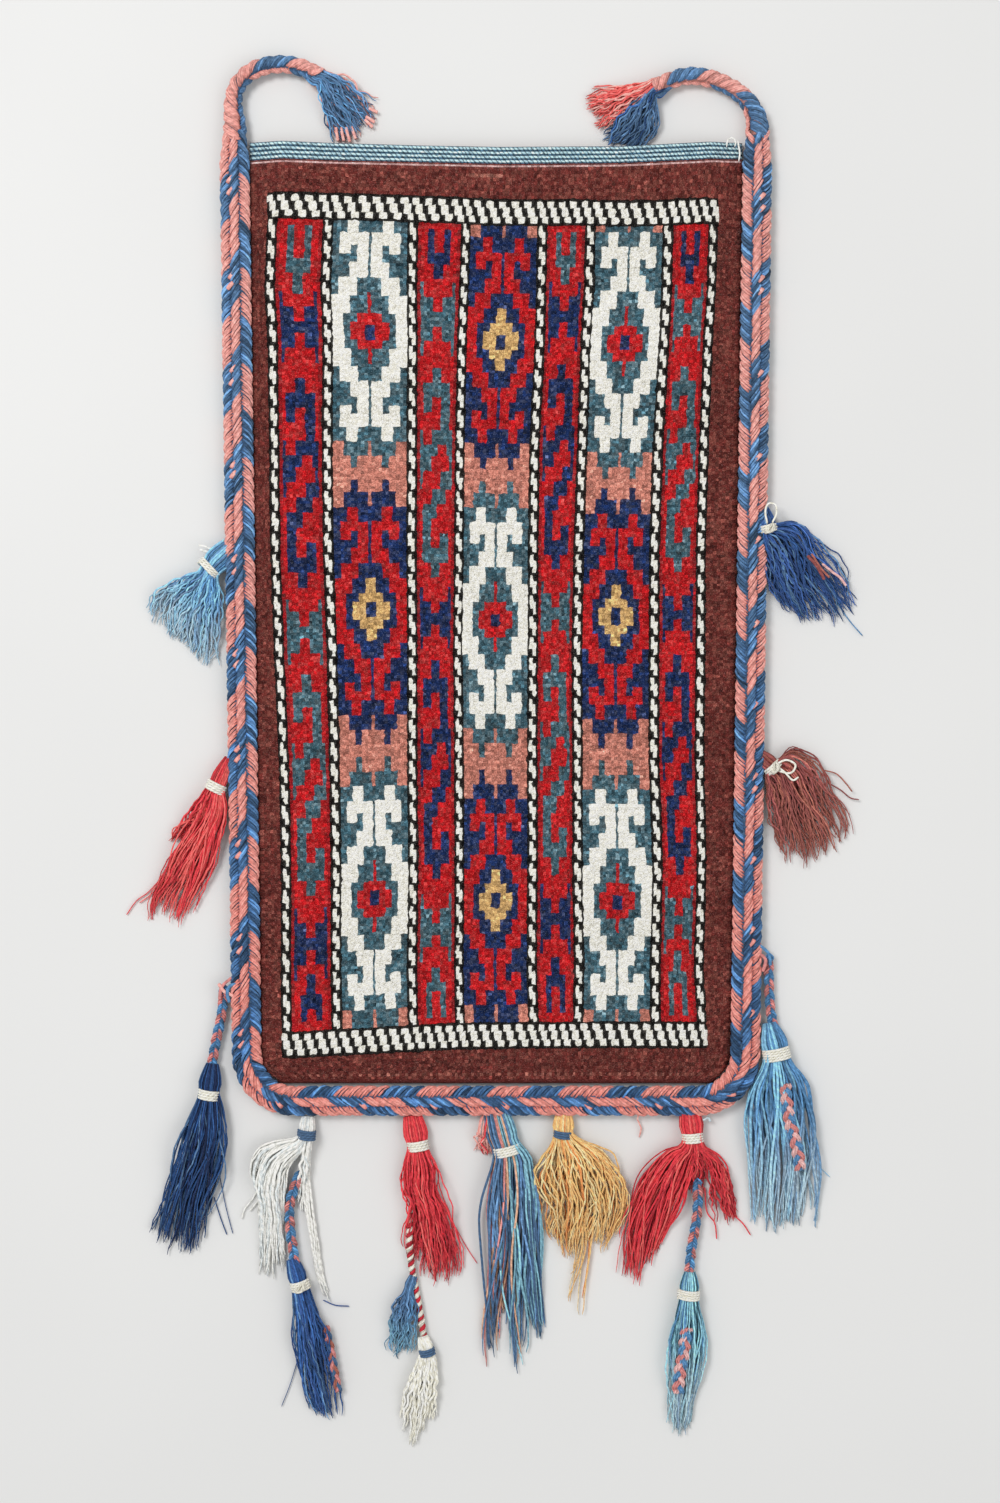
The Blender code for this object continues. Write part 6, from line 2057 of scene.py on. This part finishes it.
@dataclass
class Hangings:
    """Ties, cords, tassels and bindings. A cord's points are the CAD route's, in millimetres."""

    tassels: tuple[Tassel, ...] = TASSELS
    stitch_pair: tuple[Dye, ...] = (Dye.SALMON, Dye.PLAIT_BLUE)
    cord_dyes: tuple[Dye, ...] = (Dye.FADED_PINK, Dye.FADED_PINK, Dye.SKY_DARK, Dye.SKY_DARK)
    cord_width: float = 6.5 * MM
    twist_width: float = 4.8 * MM
    tie_width: float = 10.5 * MM

    def bindings(self) -> list[Binding]:
        """The yarn bound round each neck."""
        found = {tassel.node: tassel for tassel in self.tassels}
        white, cream, slate = Slot.WHITE, Slot.CREAM, Slot.SLATE
        rows = (("white_binding_left", "left_upper", white, 3.0, False),
                ("cream_binding_left", "left_middle", cream, 4.0, False),
                ("white_binding_left_low", "left_lower", white, 4.0, False),
                ("white_binding_right", "right_upper", white, 3.0, True),
                ("cream_binding_right", "right_middle", cream, 3.0, True),
                ("white_binding_right_low", "right_lower", white, 5.0, False),
                ("slate_binding_foot_1", "foot_1", slate, 4.0, False),
                ("cream_binding_foot_1", "foot_1_low", cream, 4.0, True),
                ("cream_binding_foot_2", "foot_2", cream, 4.0, False),
                ("slate_binding_foot_2", "foot_2_low", slate, 2.5, False),
                ("white_binding_foot_3", "foot_3", white, 3.5, False),
                ("slate_binding_foot_4", "foot_4", slate, 3.0, False),
                ("cream_binding_foot_5", "foot_5", cream, 4.0, False),
                ("cream_binding_foot_5_low", "foot_5_low", cream, 4.0, False))
        return [Binding(name, "wrap_" + place, slot, found["tassel_" + place],
                        Dye.SLATE if slot is slate else Dye.CREAM, turns, knot)
                for name, place, slot, turns, knot in rows]

    def ties(self) -> list[tuple[HangingPlait, tuple[str, ...]]]:
        """The two ties, each with the CAD node of its tuft."""
        left = (-144.2, 263.3, -144.3, 270.3, -145.1, 277.2, -144.9, 284.1, -142.9, 290.8, -138.6, 296.3,
                -132.8, 300.1, -126.2, 302.2, -119.3, 303.0, -112.4, 302.5, -105.7, 300.5, -99.4, 297.5)
        right = (144.2, 263.3, 144.3, 270.1, 142.6, 276.7, 139.1, 282.6, 134.2, 287.3, 128.4, 291.0,
                 122.2, 293.8, 115.7, 295.8, 108.9, 296.6, 102.1, 296.0, 95.5, 294.0, 89.4, 291.0)
        rows = (("left", left, self.stitch_pair, LEFT_TIE_ROWS, (34.0, 55.0)),
                ("right", right, self.stitch_pair[::-1], RIGHT_TIE_ROWS, (14.0, 38.0, 60.0)))
        made = [HangingPlait(side + "_tie", "tie_" + side, Slot.PLAIT, route, self.tie_width, dyes,
                             stitches, pitch=6.5 * MM, yarns=5, yarn=0.74 * MM, changes=changes, flare=0.36,
                             heights=(5.5, 5.3, 5.2)) for side, route, dyes, stitches, changes in rows]
        return [(tie, (tie.node + "_tuft",)) for tie in made]

    def cords(self) -> list[tuple[HangingPlait, tuple[str, ...]]]:
        """The short cords, each with the CAD nodes of the pieces that hang on it."""
        plaited = (("left_hanging_plait", "left_lower", "left_lower", (
                        -150.4, -206.5, -150.7, -213.4, -151.5, -220.3, -152.7, -227.2, -154.2, -233.9,
                        -155.5, -240.7, -156.6, -247.6, -157.2, -254.5)),
                   ("right_hanging_plait", "right_lower", "right_lower", (
                        150.6, -189.5, 150.7, -196.9, 150.8, -204.3, 151.1, -211.7, 151.7, -219.0,
                        152.9, -226.3, 154.8, -233.5)),
                   ("first_foot_plait", "foot_1", "foot_1_low", (
                        -108.9, -309.4, -111.0, -316.3, -113.3, -323.1, -114.1, -330.3, -113.8, -337.5,
                        -113.1, -344.6, -112.1, -351.8, -111.1, -358.9)),
                   ("fifth_foot_plait", "foot_5", "foot_5_low", (
                        111.1, -313.9, 111.6, -321.4, 111.3, -328.8, 110.5, -336.3, 109.2, -343.6,
                        108.0, -351.0, 107.1, -358.4, 106.7, -365.9)))
        twisted = (-46.0, -324.4, -47.0, -331.4, -47.7, -338.5, -47.9, -345.6, -47.6, -352.8, -46.8, -359.8,
                   -45.6, -366.8, -44.4, -373.9, -43.0, -380.8, -41.8, -387.9, -40.7, -394.9, -39.5, -401.9)
        made = [(HangingPlait(name, "cord_" + place, Slot.CORD, route, self.cord_width, self.cord_dyes),
                 ("tassel_" + end, "wrap_" + end)) for name, place, end, route in plaited]
        twist = HangingPlait("twisted_foot_cord", "cord_foot_2", Slot.CORD, twisted, self.twist_width,
                             (Dye.CORAL_DARK, Dye.CREAM), TWIST_ROWS, pitch=2.6 * MM, yarn=0.48 * MM,
                             heights=(2.4,))
        carried = ("tassel_foot_2_low", "wrap_foot_2_low", "tassel_foot_2_small")
        return [*made[:3], (twist, carried), *made[3:]]

    def build(self) -> None:
        """Builds all of them, each cord with the pieces that hang on it."""
        made = {tassel.node: tassel.build(seed) for seed, tassel in enumerate(self.tassels, start=1)}
        made.update({binding.node: binding.build() for binding in self.bindings()})
        for cord, hung in self.ties() + self.cords():
            cord.build([made[node] for node in hung])


# Studio

@dataclass
class Studio:
    """Pale floor, soft light and the camera straight above the bag, as in the photograph."""

    lens: float = 50.0
    camera_height: float = 1.157
    sky_strength: float = 0.54
    middle: tuple[float, float] = (2.2 * MM, -76.2 * MM)

    def floor(self) -> None:
        """A wide pale floor that takes the bag's shadow."""
        mesh = bpy.data.meshes.new("floor")
        reach = 4.0
        level = -0.2 * MM
        mesh.from_pydata([(-reach, -reach, level), (reach, -reach, level), (reach, reach, level),
                          (-reach, reach, level)], [], [(0, 1, 2, 3)])
        obj = linked("floor", mesh)
        material = bpy.data.materials.new("pale_floor")
        material.use_nodes = True
        build = NodeTree(material.node_tree)
        shader = material.node_tree.nodes["Principled BSDF"]
        place = build.add("ShaderNodeTexCoord").outputs["Object"]
        tone = build.span(build.noise(place, 3.0), 0.2, 0.8)
        build.feed(shader, "Base Color", build.mix(tone, (0.76, 0.76, 0.75, 1.0), (0.79, 0.79, 0.78, 1.0)))
        build.feed(shader, "Roughness", 0.9)
        mesh.materials.append(material)

    def lamp(self, name: str, place: tuple[float, float, float], size: float, power: float) -> None:
        """Adds a square soft lamp that faces the bag.

        Args:
            name: Its name.
            place: Where it hangs.
            size: Its side.
            power: Its power in watts.
        """
        data = bpy.data.lights.new(name, "AREA")
        data.size = size
        data.energy = power
        obj = linked(name, data)
        obj.location = place
        x, y, z = place
        obj.rotation_euler = (math.atan2(math.hypot(x, y), z), 0.0, math.atan2(x, -y))

    def build(self) -> None:
        """Sets the floor, the lamps, the world's even light and the camera."""
        self.floor()
        self.lamp("key_lamp", (-0.9, 0.7, 1.9), size=0.8, power=24.0)
        self.lamp("fill_lamp", (1.2, -0.6, 1.5), size=1.4, power=7.0)
        world = bpy.data.worlds.new("studio")
        world.use_nodes = True
        sky = world.node_tree.nodes["Background"]
        sky.inputs["Color"].default_value = (1.0, 1.0, 1.0, 1.0)
        sky.inputs["Strength"].default_value = self.sky_strength
        bpy.context.scene.world = world
        data = bpy.data.cameras.new("camera")
        data.lens = self.lens
        data.sensor_width = 36.0
        data.clip_end = 50.0
        camera = linked("camera", data)
        camera.location = (*self.middle, self.camera_height)
        bpy.context.scene.camera = camera
        bpy.context.scene.view_settings.view_transform = "Standard"


def main() -> None:
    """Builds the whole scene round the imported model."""
    logging.basicConfig(level=logging.INFO, format="%(name)s: %(message)s")
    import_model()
    Studio().build()
    strip = WovenStrip()
    Hangings().build()
    EdgePlait().build(strip)
    strip.build()


if __name__ == "__main__":
    main()
